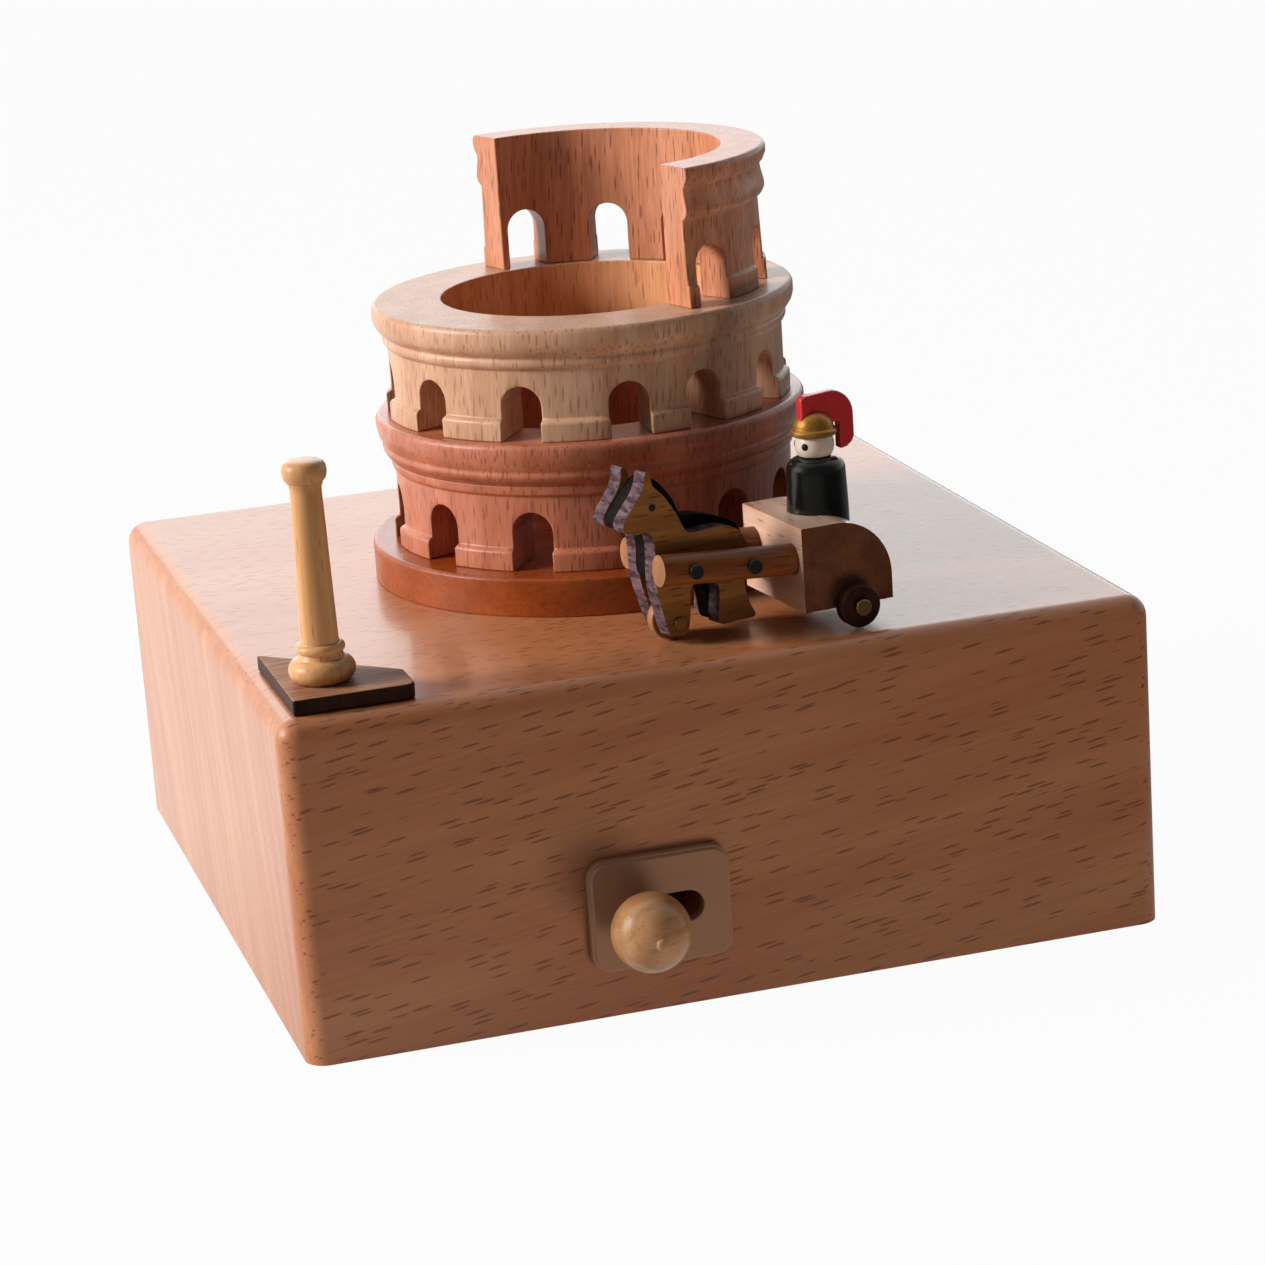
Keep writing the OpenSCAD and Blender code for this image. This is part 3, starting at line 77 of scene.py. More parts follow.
# Cut and lacquered wood: slow bands of tone, fine fibres, and flecks that lie along the grain
def woodMaterial(name, look):
    material, tree = newMaterial(name)
    coords = addNode(tree, "ShaderNodeTexCoord")
    turn = [math.radians(a) for a in look["turn"]]
    laid = {}
    for pattern in ("band", "fibre", "fleck"):
        length, width = look[pattern]  # in mm, along and across the grain
        laid[pattern] = addNode(tree, "ShaderNodeMapping",
                                {"vector_type": "TEXTURE", "Rotation": turn,
                                 "Scale": (length * mm, width * mm, width * mm)},
                                {"Vector": coords.outputs["Object"]}).outputs[0]
    band = addNode(tree, "ShaderNodeTexNoise", {"Scale": 1.0, "Detail": 3.0, "Distortion": 0.5},
                   {"Vector": laid["band"]})
    fibre = addNode(tree, "ShaderNodeTexNoise", {"Scale": 1.0, "Detail": 4.0, "Roughness": 0.6},
                    {"Vector": laid["fibre"]})
    fleck = addNode(tree, "ShaderNodeTexVoronoi", {"Scale": 1.0}, {"Vector": laid["fleck"]})
    bandShare = addNode(tree, "ShaderNodeMapRange", {"From Min": 0.34, "From Max": 0.66},
                        {"Value": band.outputs["Fac"]})
    fibreShade = addNode(tree, "ShaderNodeMapRange",
                         {**noiseSpan, "To Min": 1.0 - look["fibreDepth"], "To Max": 1.0},
                         {"Value": fibre.outputs["Fac"]})
    fleckShare = addNode(tree, "ShaderNodeMapRange",
                         {"From Min": look["fleckSize"], "From Max": 0.7 * look["fleckSize"],
                          "To Max": look["fleckDepth"]}, {"Value": fleck.outputs["Distance"]})
    tone = addNode(tree, "ShaderNodeMix",
                   {"data_type": "RGBA", 6: linear(look["tones"][0]), 7: linear(look["tones"][1])},
                   {0: bandShare.outputs[0]})
    shaded = addNode(tree, "ShaderNodeMix", {"data_type": "RGBA", "blend_type": "MULTIPLY", 0: 1.0},
                     {6: tone.outputs[2], 7: fibreShade.outputs[0]})
    colour = addNode(tree, "ShaderNodeMix", {"data_type": "RGBA", 7: linear(look["fleckTone"])},
                     {0: fleckShare.outputs[0], 6: shaded.outputs[2]})
    spread = 0.05  # the fibres make the wood rougher and smoother by this much
    sheen = addNode(tree, "ShaderNodeMapRange",
                    {**noiseSpan, "To Min": look["rough"] - spread, "To Max": look["rough"] + spread},
                    {"Value": fibre.outputs["Fac"]})
    bump = addNode(tree, "ShaderNodeBump",
                   {"invert": True, "Strength": look["bump"], "Distance": 0.06 * mm},
                   {"Height": fleckShare.outputs[0]})
    shader = addNode(tree, "ShaderNodeBsdfPrincipled",
                     {"IOR": 1.5, "Specular IOR Level": look.get("gloss", 0.5),
                      "Coat Weight": look["coat"], "Coat Roughness": 0.15, "Coat IOR": 1.45},
                     {"Base Color": colour.outputs[2], "Roughness": sheen.outputs[0],
                      "Normal": bump.outputs[0]})
    addNode(tree, "ShaderNodeOutputMaterial", links={"Surface": shader.outputs[0]})
    return material


# How the chariot stands on its round track, in degrees and mm, and how its poles slope
track = {"turn": 7.47, "radius": 46, "height": 46.5, "poleTilt": 4.8}

# Turns in degrees that lay the grain, which runs along X where nothing is turned
caseGrain = (0, -9, 0)  # along X, rising a little to the right
ringGrain = (0, -70, 90)  # up the end faces, where the growth rings are cut across
lyingGrain = (0, 0, 0)  # along X
standingGrain = (0, -90, 0)  # along Z
leaningGrain = (0, -86, 20)  # along Z, a little out of plumb
knobGrain = (0, 0, 20)  # across the ball
trackGrain = (0, 0, track["turn"])  # along the chariot's heading
poleGrain = (0, track["poleTilt"], track["turn"])  # along the poles
crossGrain = (0, 0, 90 + track["turn"])  # across the chariot

# Steamed beech, planed and satin lacquered: pinkish tan with short brown dashes
caseBeech = woodMaterial("caseBeech", {
    "turn": caseGrain, "tones": ("#be8055", "#b47048"),
    "band": (70, 9), "fibre": (20, 0.35), "fibreDepth": 0.18,
    "fleckTone": "#5f2b10", "fleck": (6.4, 0.7), "fleckSize": 0.28, "fleckDepth": 0.65,
    "rough": 0.4, "coat": 0.5, "bump": 0.25})
# The same block's end grain: growth rings cut across, and pores as fine dots
caseEndGrain = woodMaterial("caseEndGrain", {
    "turn": ringGrain, "tones": ("#c28459", "#b06d45"),
    "band": (60, 4.5), "fibre": (14, 0.5), "fibreDepth": 0.2,
    "fleckTone": "#6b3d22", "fleck": (1.1, 0.5), "fleckSize": 0.26, "fleckDepth": 0.4,
    "rough": 0.42, "coat": 0.5, "bump": 0.2})
# Turned beech, unstained, with upright dashes
tierBeech = woodMaterial("tierBeech", {
    "turn": leaningGrain, "tones": ("#d2a88a", "#c29272"),
    "band": (30, 4), "fibre": (10, 0.3), "fibreDepth": 0.24,
    "fleckTone": "#7a4d30", "fleck": (4.2, 0.55), "fleckSize": 0.33, "fleckDepth": 0.5,
    "rough": 0.4, "coat": 0.12, "bump": 0.3})
# Turned beech under a red-brown stain, which gathers in the dashes
stainedBeech = woodMaterial("stainedBeech", {
    "turn": leaningGrain, "tones": ("#c2775a", "#ae6345"),
    "band": (30, 4), "fibre": (10, 0.3), "fibreDepth": 0.24,
    "fleckTone": "#6e301b", "fleck": (3.8, 0.5), "fleckSize": 0.34, "fleckDepth": 0.55,
    "rough": 0.38, "coat": 0.35, "bump": 0.3})
# The same stain on the half ring, in longer streaks
ringBeech = woodMaterial("ringBeech", {
    "turn": leaningGrain, "tones": ("#d8916d", "#c07b57"),
    "band": (30, 2.4), "fibre": (14, 0.4), "fibreDepth": 0.34,
    "fleckTone": "#5f2f1b", "fleck": (5, 0.5), "fleckSize": 0.3, "fleckDepth": 0.6,
    "rough": 0.38, "coat": 0.18, "bump": 0.3})
# The bore of the middle tier in a warmer, brighter brown than the tier's own: painted bounce light that the
# well throws on its walls
wellBeechPaintedBounce = woodMaterial("wellBeechPaintedBounce", {
    "turn": standingGrain, "tones": ("#e8a878", "#d7905f"),
    "band": (30, 4), "fibre": (10, 0.3), "fibreDepth": 0.24,
    "fleckTone": "#7f4a28", "fleck": (4.2, 0.55), "fleckSize": 0.33, "fleckDepth": 0.45,
    "rough": 0.42, "coat": 0.2, "bump": 0.3})
# Dense board under the arena, deeply stained and glossy
discBoard = woodMaterial("discBoard", {
    "turn": lyingGrain, "tones": ("#a04c1d", "#8a3d12"),
    "band": (30, 6), "fibre": (1.2, 0.5), "fibreDepth": 0.2,
    "fleckTone": "#5c240c", "fleck": (2.2, 0.8), "fleckSize": 0.3, "fleckDepth": 0.4,
    "rough": 0.3, "coat": 0.15, "bump": 0.12})
# Brown plywood of the column's plinth
plinthWood = woodMaterial("plinthWood", {
    "turn": lyingGrain, "tones": ("#ad7a5e", "#96664a"),
    "band": (24, 1.6), "fibre": (12, 0.3), "fibreDepth": 0.35,
    "fleckTone": "#4a2a1c", "fleck": (6, 0.7), "fleckSize": 0.34, "fleckDepth": 0.6,
    "rough": 0.55, "coat": 0.0, "bump": 0.3, "gloss": 0.2})
# Turned boxwood, fine and waxy with hardly a fleck
turnedBoxwood = woodMaterial("turnedBoxwood", {
    "turn": standingGrain, "tones": ("#d8a26c", "#c78e58"),
    "band": (30, 2.2), "fibre": (16, 0.3), "fibreDepth": 0.16,
    "fleckTone": "#8a5628", "fleck": (6, 0.8), "fleckSize": 0.22, "fleckDepth": 0.45,
    "rough": 0.36, "coat": 0.25, "bump": 0.15})
# Pale turned ball with faint bands
knobWood = woodMaterial("knobWood", {
    "turn": knobGrain, "tones": ("#c99a6c", "#b58052"),
    "band": (20, 1.6), "fibre": (12, 0.3), "fibreDepth": 0.16,
    "fleckTone": "#8a5c34", "fleck": (5, 0.8), "fleckSize": 0.22, "fleckDepth": 0.4,
    "rough": 0.32, "coat": 0.35, "bump": 0.15})
# Oiled plywood of the horse's sides
horsePly = woodMaterial("horsePly", {
    "turn": trackGrain, "tones": ("#a06b34", "#8a5726"),
    "band": (18, 1.8), "fibre": (9, 0.3), "fibreDepth": 0.28,
    "fleckTone": "#3a220e", "fleck": (4.5, 0.6), "fleckSize": 0.28, "fleckDepth": 0.6,
    "rough": 0.52, "coat": 0.0, "bump": 0.3, "gloss": 0.3})
# Edges that the cutter burnt to a lilac grey, with its strokes across them
burntEdge = woodMaterial("burntEdge", {
    "turn": crossGrain, "tones": ("#80666d", "#44333a"),
    "band": (4, 0.9), "fibre": (3, 0.3), "fibreDepth": 0.45,
    "fleckTone": "#1d1617", "fleck": (1.6, 0.7), "fleckSize": 0.36, "fleckDepth": 0.6,
    "rough": 0.6, "coat": 0.0, "bump": 0.5, "gloss": 0.06})
# Middle ply, charred nearly black
charredPly = woodMaterial("charredPly", {
    "turn": crossGrain, "tones": ("#1c1615", "#110d0c"),
    "band": (4, 0.9), "fibre": (3, 0.3), "fibreDepth": 0.4,
    "fleckTone": "#0c0b0a", "fleck": (1.6, 0.7), "fleckSize": 0.36, "fleckDepth": 0.6,
    "rough": 0.58, "coat": 0.0, "bump": 0.5, "gloss": 0.05})
# Brown dowel of the poles
poleWood = woodMaterial("poleWood", {
    "turn": poleGrain, "tones": ("#8d5121", "#753b13"),
    "band": (20, 1.3), "fibre": (9, 0.25), "fibreDepth": 0.3,
    "fleckTone": "#3a1c09", "fleck": (6, 0.6), "fleckSize": 0.28, "fleckDepth": 0.6,
    "rough": 0.42, "coat": 0.0, "bump": 0.3, "gloss": 0.4})
# Sawn ends and small pale wheels
paleEndGrain = woodMaterial("paleEndGrain", {
    "turn": standingGrain, "tones": ("#a87650", "#92603c"),
    "band": (6, 2), "fibre": (1, 0.3), "fibreDepth": 0.2,
    "fleckTone": "#875a3e", "fleck": (0.9, 0.6), "fleckSize": 0.3, "fleckDepth": 0.45,
    "rough": 0.48, "coat": 0.05, "bump": 0.2})
# Planed beech of the chariot
chariotBeech = woodMaterial("chariotBeech", {
    "turn": crossGrain, "tones": ("#e0bca4", "#d0a48a"),
    "band": (24, 3), "fibre": (9, 0.3), "fibreDepth": 0.14,
    "fleckTone": "#7f5438", "fleck": (5, 0.8), "fleckSize": 0.26, "fleckDepth": 0.5,
    "rough": 0.42, "coat": 0.8, "bump": 0.2})
# Its end grain, which drank the lacquer and went brown, made darker still as painted shade of the chariot's
# sides that stand in shadow
chariotEndGrainAndShade = woodMaterial("chariotEndGrainAndShade", {
    "turn": crossGrain, "tones": ("#74452a", "#5f361f"),
    "band": (24, 3), "fibre": (4, 0.35), "fibreDepth": 0.22,
    "fleckTone": "#482815", "fleck": (3, 0.6), "fleckSize": 0.26, "fleckDepth": 0.5,
    "rough": 0.5, "coat": 0.0, "bump": 0.2, "gloss": 0.3})
# Dark stained wood of the wheels and of the plinth's sawn edges
wheelWood = woodMaterial("wheelWood", {
    "turn": standingGrain, "tones": ("#3a1a0c", "#281006"),
    "band": (6, 1.4), "fibre": (4, 0.25), "fibreDepth": 0.25,
    "fleckTone": "#150804", "fleck": (3, 0.6), "fleckSize": 0.28, "fleckDepth": 0.6,
    "rough": 0.5, "coat": 0.0, "bump": 0.2, "gloss": 0.25})
# Plain birch plywood of the bottom cover
coverPly = woodMaterial("coverPly", {
    "turn": lyingGrain, "tones": ("#c9a57c", "#b98f63"),
    "band": (70, 8), "fibre": (26, 0.5), "fibreDepth": 0.22,
    "fleckTone": "#80583a", "fleck": (12, 1.2), "fleckSize": 0.24, "fleckDepth": 0.45,
    "rough": 0.6, "coat": 0.0, "bump": 0.3})
print("woods ready")


# Enamel or moulded plastic: nearly one colour, its own gloss and faint ripples
def enamelMaterial(name, look):
    material, tree = newMaterial(name)
    coords = addNode(tree, "ShaderNodeTexCoord")
    place = addNode(tree, "ShaderNodeMapping",
                    {"vector_type": "TEXTURE", "Scale": [look["ripple"] * mm] * 3},
                    {"Vector": coords.outputs["Object"]})
    ripple = addNode(tree, "ShaderNodeTexNoise", {"Scale": 1.0, "Detail": 2.0}, {"Vector": place.outputs[0]})
    colour = addNode(tree, "ShaderNodeMix",
                     {"data_type": "RGBA", 6: linear(look["tones"][0]), 7: linear(look["tones"][1])},
                     {0: ripple.outputs["Fac"]})
    bump = addNode(tree, "ShaderNodeBump", {"Strength": look["bump"], "Distance": 0.1 * mm},
                   {"Height": ripple.outputs["Fac"]})
    shader = addNode(tree, "ShaderNodeBsdfPrincipled",
                     {"Metallic": look["metal"], "Roughness": look["rough"],
                      "Coat Weight": look["coat"], "Coat Roughness": 0.08},
                     {"Base Color": colour.outputs[2], "Normal": bump.outputs[0]})
    addNode(tree, "ShaderNodeOutputMaterial", links={"Surface": shader.outputs[0]})
    return material


# Black gloss of the charioteer's body
blackEnamel = enamelMaterial("blackEnamel", {
    "tones": ("#0b0c0b", "#121311"), "ripple": 1.6, "bump": 0.25, "metal": 0.0, "rough": 0.18, "coat": 0.0})
# White gloss of the head
whiteEnamel = enamelMaterial("whiteEnamel", {
    "tones": ("#d0c1b2", "#bfae9f"), "ripple": 1.2, "bump": 0.15, "metal": 0.0, "rough": 0.35, "coat": 0.4})
# Red gloss of the crest
redEnamel = enamelMaterial("redEnamel", {
    "tones": ("#c42a30", "#a81f26"), "ripple": 1.2, "bump": 0.15, "metal": 0.0, "rough": 0.32, "coat": 0.5})
# Bronze paint of the helmet, half metal, half lacquer
goldPaint = enamelMaterial("goldPaint", {
    "tones": ("#c08a3e", "#94622a"), "ripple": 0.6, "bump": 0.25, "metal": 0.7, "rough": 0.36, "coat": 0.2})
# Blackened nails and the painted eyes
nailBlack = enamelMaterial("nailBlack", {
    "tones": ("#0f1011", "#191a1a"), "ripple": 0.5, "bump": 0.3, "metal": 0.0, "rough": 0.5, "coat": 0.0})
# Moulded ABS with a fine satin grain
platePlastic = enamelMaterial("platePlastic", {
    "tones": ("#ad8164", "#a3775a"), "ripple": 0.35, "bump": 0.12, "metal": 0.0, "rough": 0.42, "coat": 0.0})
# Milky nylon of the worm wheel
whiteNylon = enamelMaterial("whiteNylon", {
    "tones": ("#e3e0d8", "#d6d2c8"), "ripple": 0.8, "bump": 0.1, "metal": 0.0, "rough": 0.45, "coat": 0.0})
# Black nylon of the fly
blackNylon = enamelMaterial("blackNylon", {
    "tones": ("#242424", "#1b1b1b"), "ripple": 0.8, "bump": 0.1, "metal": 0.0, "rough": 0.45, "coat": 0.0})


# Worked metal: fine scratches one way that spread the gloss
def metalMaterial(name, look):
    material, tree = newMaterial(name)
    coords = addNode(tree, "ShaderNodeTexCoord")
    length, width = look["scratch"]  # in mm
    place = addNode(tree, "ShaderNodeMapping",
                    {"vector_type": "TEXTURE", "Scale": (length * mm, width * mm, width * mm)},
                    {"Vector": coords.outputs["Object"]})
    scratch = addNode(tree, "ShaderNodeTexNoise", {"Scale": 1.0, "Detail": 3.0}, {"Vector": place.outputs[0]})
    colour = addNode(tree, "ShaderNodeMix",
                     {"data_type": "RGBA", 6: linear(look["tones"][0]), 7: linear(look["tones"][1])},
                     {0: scratch.outputs["Fac"]})
    gloss = addNode(tree, "ShaderNodeMapRange",
                    {**noiseSpan, "To Min": look["rough"][0], "To Max": look["rough"][1]},
                    {"Value": scratch.outputs["Fac"]})
    bump = addNode(tree, "ShaderNodeBump", {"Strength": 0.12, "Distance": 0.03 * mm},
                   {"Height": scratch.outputs["Fac"]})
    shader = addNode(tree, "ShaderNodeBsdfPrincipled", {"Metallic": 1.0},
                     {"Base Color": colour.outputs[2], "Roughness": gloss.outputs[0],
                      "Normal": bump.outputs[0]})
    addNode(tree, "ShaderNodeOutputMaterial", links={"Surface": shader.outputs[0]})
    return material


# Brass gone a little brown
turnedBrass = metalMaterial("turnedBrass", {
    "tones": ("#c0945a", "#a27a44"), "scratch": (3, 0.2), "rough": (0.26, 0.4)})
# Zinc plated screws and shafts, bright with fine turning marks
zincPlatedSteel = metalMaterial("zincPlatedSteel", {
    "tones": ("#b9b8b4", "#a3a29f"), "scratch": (4, 0.2), "rough": (0.26, 0.4)})
# Tempered spring steel, dark and oily
blueSteel = metalMaterial("blueSteel", {
    "tones": ("#4b4c50", "#3a3b40"), "scratch": (5, 0.2), "rough": (0.25, 0.38)})
# Zinc die casting, dull and finely grained
castZinc = metalMaterial("castZinc", {
    "tones": ("#b2b3b2", "#989a99"), "scratch": (0.6, 0.4), "rough": (0.4, 0.55)})
# Cast iron, dark and coarse
castIron = metalMaterial("castIron", {
    "tones": ("#5a5a5a", "#474747"), "scratch": (0.6, 0.4), "rough": (0.5, 0.65)})
# Nickel plate of the magnets, nearly a mirror
nickelPlate = metalMaterial("nickelPlate", {
    "tones": ("#c9c8c4", "#b8b7b3"), "scratch": (2, 0.3), "rough": (0.12, 0.2)})
print("paints and metals ready")


# Distances in mm under which points are one, and the angle in degrees under which faces are flat
weld = {"node": 0.004, "turned": 0.002, "flat": 0.4}


# A CAD node's mesh, welded, with its sharp edges eased by so many mm
def easedCopy(nodeName, ease, steps=2, angle=32, clamp=True):
    bm = bmesh.new()
    bm.from_mesh(nodes[nodeName].data)
    bmesh.ops.remove_doubles(bm, verts=bm.verts, dist=weld["node"] * mm)
    bmesh.ops.dissolve_limit(bm, angle_limit=math.radians(weld["flat"]), verts=bm.verts, edges=bm.edges)
    inner = [e for e in bm.edges if len(e.link_faces) == 2]
    sharp = [e for e in inner if e.calc_face_angle(0.0) > math.radians(angle)]
    bmesh.ops.bevel(bm, geom=sharp, offset=ease * mm, offset_type="OFFSET", affect="EDGES", segments=steps,
                    profile=0.5, material=-1, clamp_overlap=clamp)
    return bm


# The faces that a test picks take the piece's second material
def secondMaterial(bm, test):
    for face in bm.faces:
        face.material_index = 1 if test(face) else 0


# A bmesh becomes a piece that rides on a body and takes the materials given to it
def makePiece(name, bm, materials, body, stands=(), smooth=40):
    mesh = bpy.data.meshes.new(name)
    bm.to_mesh(mesh)
    bm.free()
    for material in materials:
        mesh.materials.append(material)
    mesh.shade_smooth()
    mesh.set_sharp_from_angle(angle=math.radians(smooth))
    piece = bpy.data.objects.new(name, mesh)
    bpy.context.scene.collection.objects.link(piece)
    even = piece.modifiers.new("evenNormals", "WEIGHTED_NORMAL")
    even.keep_sharp = True
    even.weight = 90
    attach(piece, body)
    if stands:
        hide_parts(*stands)
    return piece


# A profile of (radius, height) in mm, turned round Z and then put in its place
def turned(profile, place, steps=48):
    bm = bmesh.new()
    verts = [bm.verts.new((r * mm, 0, h * mm)) for r, h in profile]
    for a, b in zip(verts, verts[1:]):
        bm.edges.new((a, b))
    bmesh.ops.spin(bm, geom=bm.verts[:] + bm.edges[:], cent=(0, 0, 0), axis=(0, 0, 1), angle=2 * math.pi,
                   steps=steps, use_merge=True)
    bmesh.ops.remove_doubles(bm, verts=bm.verts, dist=weld["turned"] * mm)
    bmesh.ops.recalc_face_normals(bm, faces=bm.faces)
    bmesh.ops.transform(bm, matrix=place, verts=bm.verts)
    return bm


# Points on an arc for a turned profile
def arc(centre, radius, first, last, count):
    angles = [math.radians(first + (last - first) * i / count) for i in range(count + 1)]
    return [(centre[0] + radius * math.cos(a), centre[1] + radius * math.sin(a)) for a in angles]


# Nodes whose shape is right, which get eased edges and a finer material
easedNodes = {
    # node: eased edge in mm, material, slot, body
    "bottom_cover": (0.3, coverPly, "plywood", "housing"),
    "cover_screws": (0.25, zincPlatedSteel, "steel", "housing"),
    "bedplate_screws": (0.2, zincPlatedSteel, "steel", "housing"),
    "slot_plate": (0.4, platePlastic, "plate_plastic", "housing"),
    "arena_disc": (0.2, discBoard, "red_stain", "housing"),
    "arena_lower_tier": (0.22, stainedBeech, "red_stain", "housing"),
    "arena_upper_tier": (0.22, ringBeech, "red_stain", "housing"),
    "winding_key": (0.4, turnedBrass, "brass", "winder"),
    "winding_arbor": (0.2, zincPlatedSteel, "steel", "winder"),
    "stop_stem": (0.2, turnedBoxwood, "boxwood", "stop"),
    "pole_pins": (0.16, nailBlack, "dark_steel", "chariot"),
    "front_axle": (0.15, turnedBrass, "brass", "chariot"),
    "charioteer_body": (0.15, blackEnamel, "black_lacquer", "chariot"),
    "charioteer_head": (0.1, whiteEnamel, "white_lacquer", "chariot"),
    "charioteer_helmet": (0.12, goldPaint, "gold_lacquer", "chariot"),
    "charioteer_crest": (0.35, redEnamel, "red_lacquer", "chariot"),
    "chariot_axle": (0.35, turnedBrass, "brass", "chariot_wheels"),
    "chariot_wheel_left": (0.35, wheelWood, "wheel_wood", "chariot_wheels"),
    "chariot_wheel_right": (0.35, wheelWood, "wheel_wood", "chariot_wheels"),
    "front_wheel": (0.3, paleEndGrain, "pale_wood", "lead_wheel"),
}
for nodeName, (ease, material, slot, body) in easedNodes.items():
    clamp = not nodeName.endswith("_tier")  # the tiers' short profile steps would hold their arches sharp
    bm = easedCopy(nodeName, ease, clamp=clamp)
    makePiece("eased_" + nodeName, bm, [material], body, [nodeName])

# Case, with end grain on the two faces across X
case = {"ease": 0.6, "endFacing": 0.75}
bm = easedCopy("case", case["ease"])
secondMaterial(bm, lambda face: abs(face.normal.x) > case["endFacing"])
makePiece("woodenCase", bm, [caseBeech, caseEndGrain], "housing", ["case"])

# Middle tier, with its bore in a warmer brown of painted bounce light
tier = {"ease": 0.22, "boreReach": 20.3, "upright": 0.5}


def inBore(face):
    middle = face.calc_center_median()
    return math.hypot(middle.x, middle.y) < tier["boreReach"] * mm and abs(face.normal.z) < tier["upright"]


bm = easedCopy("arena_middle_tier", tier["ease"], clamp=False)
# The bore's faces take the warmer wood that carries painted bounce light
secondMaterial(bm, inBore)
makePiece("middleTier", bm, [tierBeech, wellBeechPaintedBounce], "housing", ["arena_middle_tier"])

# Plinth of the column, with dark sawn edges
plinth = {"ease": 0.3, "upright": 0.5}
bm = easedCopy("column_plinth", plinth["ease"])
secondMaterial(bm, lambda face: abs(face.normal.z) < plinth["upright"])
makePiece("columnPlinth", bm, [plinthWood, wheelWood], "housing", ["column_plinth"])
print("eased pieces ready")

# Horse, poles and chariot: sides and ends in their own woods
onTrack = (Matrix.Rotation(math.radians(track["turn"]), 4, "Z")
           @ Matrix.Translation((0, -track["radius"] * mm, track["height"] * mm)))
outward = (onTrack.to_3x3() @ Vector((0, -1, 0))).normalized()
poleTilt = Matrix.Rotation(math.radians(track["poleTilt"]), 3, "Y")
poleWay = (onTrack.to_3x3() @ poleTilt @ Vector((1, 0, 0))).normalized()
horse = {"ease": 0.4, "coreEase": 0.35, "steps": 3, "angle": 50, "sideFacing": 0.8}
poles = {"ease": 0.3, "steps": 2, "angle": 50, "endFacing": 0.8}
chariot = {"ease": 0.45, "steps": 3, "sideFacing": 0.8}
for side in ("left", "right"):
    node = "horse_side_" + side
    bm = easedCopy(node, horse["ease"], horse["steps"], horse["angle"])
    secondMaterial(bm, lambda face: abs(face.normal.dot(outward)) <= horse["sideFacing"])
    makePiece("horsePly_" + side, bm, [horsePly, burntEdge], "chariot", [node])
    node = "pole_" + side
    bm = easedCopy(node, poles["ease"], poles["steps"], poles["angle"])
    secondMaterial(bm, lambda face: abs(face.normal.dot(poleWay)) > poles["endFacing"])
    makePiece(node + "_turned", bm, [poleWood, paleEndGrain], "chariot", [node])
bm = easedCopy("chariot_block", chariot["ease"], chariot["steps"])
# The chariot's two sides take the darker end grain, which also carries painted shade
secondMaterial(bm, lambda face: abs(face.normal.dot(outward)) > chariot["sideFacing"])
makePiece("chariotBlock", bm, [chariotBeech, chariotEndGrainAndShade], "chariot", ["chariot_block"])
bm = easedCopy("horse_core", horse["coreEase"], horse["steps"], horse["angle"])
makePiece("horseCore", bm, [charredPly], "chariot", ["horse_core"])
print("horse ready")

# Painted eyes of the horse and the charioteer, as low domes of paint
# The slanted saw cut puts the horse's two eyes out of line
eyes = {"horseX": {-1: -12.9, 1: -14.26}, "horseZ": 19.2, "horseHalf": 3.6, "horseRadius": 0.5,
        "figureX": 12.9, "figureZ": 23.2, "figureRadius": 0.52, "headRadius": 2.65, "sink": 0.06,
        "turn": 34, "dome": [(0, 0.16), (0.6, 0.12), (1, 0)], "steps": 20}
sideNames = {-1: "left", 1: "right"}
for side, sideName in sideNames.items():
    spot = Vector((eyes["horseX"][side], side * eyes["horseHalf"], eyes["horseZ"])) * mm
    place = onTrack @ Matrix.Translation(spot) @ Matrix.Rotation(math.radians(-90 * side), 4, "X")
    bm = turned([(r * eyes["horseRadius"], h) for r, h in eyes["dome"]], place, eyes["steps"])
    makePiece("horseEye_" + sideName, bm, [nailBlack], "chariot")
for side, sideName in sideNames.items():
    gaze = math.radians(180 - side * eyes["turn"])
    reach = Vector((math.cos(gaze), math.sin(gaze), 0)) * (eyes["headRadius"] - eyes["sink"])
    spot = (Vector((eyes["figureX"], 0, eyes["figureZ"])) + reach) * mm
    facing = Matrix.Rotation(gaze, 4, "Z") @ Matrix.Rotation(math.radians(90), 4, "Y")
    place = onTrack @ Matrix.Translation(spot) @ facing
    bm = turned([(r * eyes["figureRadius"], h) for r, h in eyes["dome"]], place, eyes["steps"])
    makePiece("figureEye_" + sideName, bm, [blackEnamel], "chariot")
print("eyes ready")

# Ball knob with its small end grain nub, turned in one
knob = {"centre": (-15.5, -69.2, 14.4), "radius": 5.3, "bore": 1.63, "boreEnd": 0.9,
        "nub": 0.8, "nubRise": 0.3, "nubRound": 0.25, "nubFoot": 0.1, "nubAngle": 80,
        "arcSteps": 28, "steps": 64}
mouth = math.degrees(math.asin(knob["bore"] / knob["radius"]))
nubTop = knob["radius"] + knob["nubRise"]
profile = [(0, nubTop), (knob["nub"] - knob["nubRound"], nubTop)]
profile += [(knob["nub"], knob["radius"] + knob["nubFoot"])]
profile += arc((0, 0), knob["radius"], knob["nubAngle"], -90 + mouth, knob["arcSteps"])
profile += [(knob["bore"], knob["boreEnd"]), (0, knob["boreEnd"])]
place = Matrix.Translation(Vector(knob["centre"]) * mm) @ Matrix.Rotation(math.radians(90), 4, "X")
makePiece("knobBall", turned(profile, place, knob["steps"]), [knobWood], "stop", ["stop_knob"])
print("knob ready")

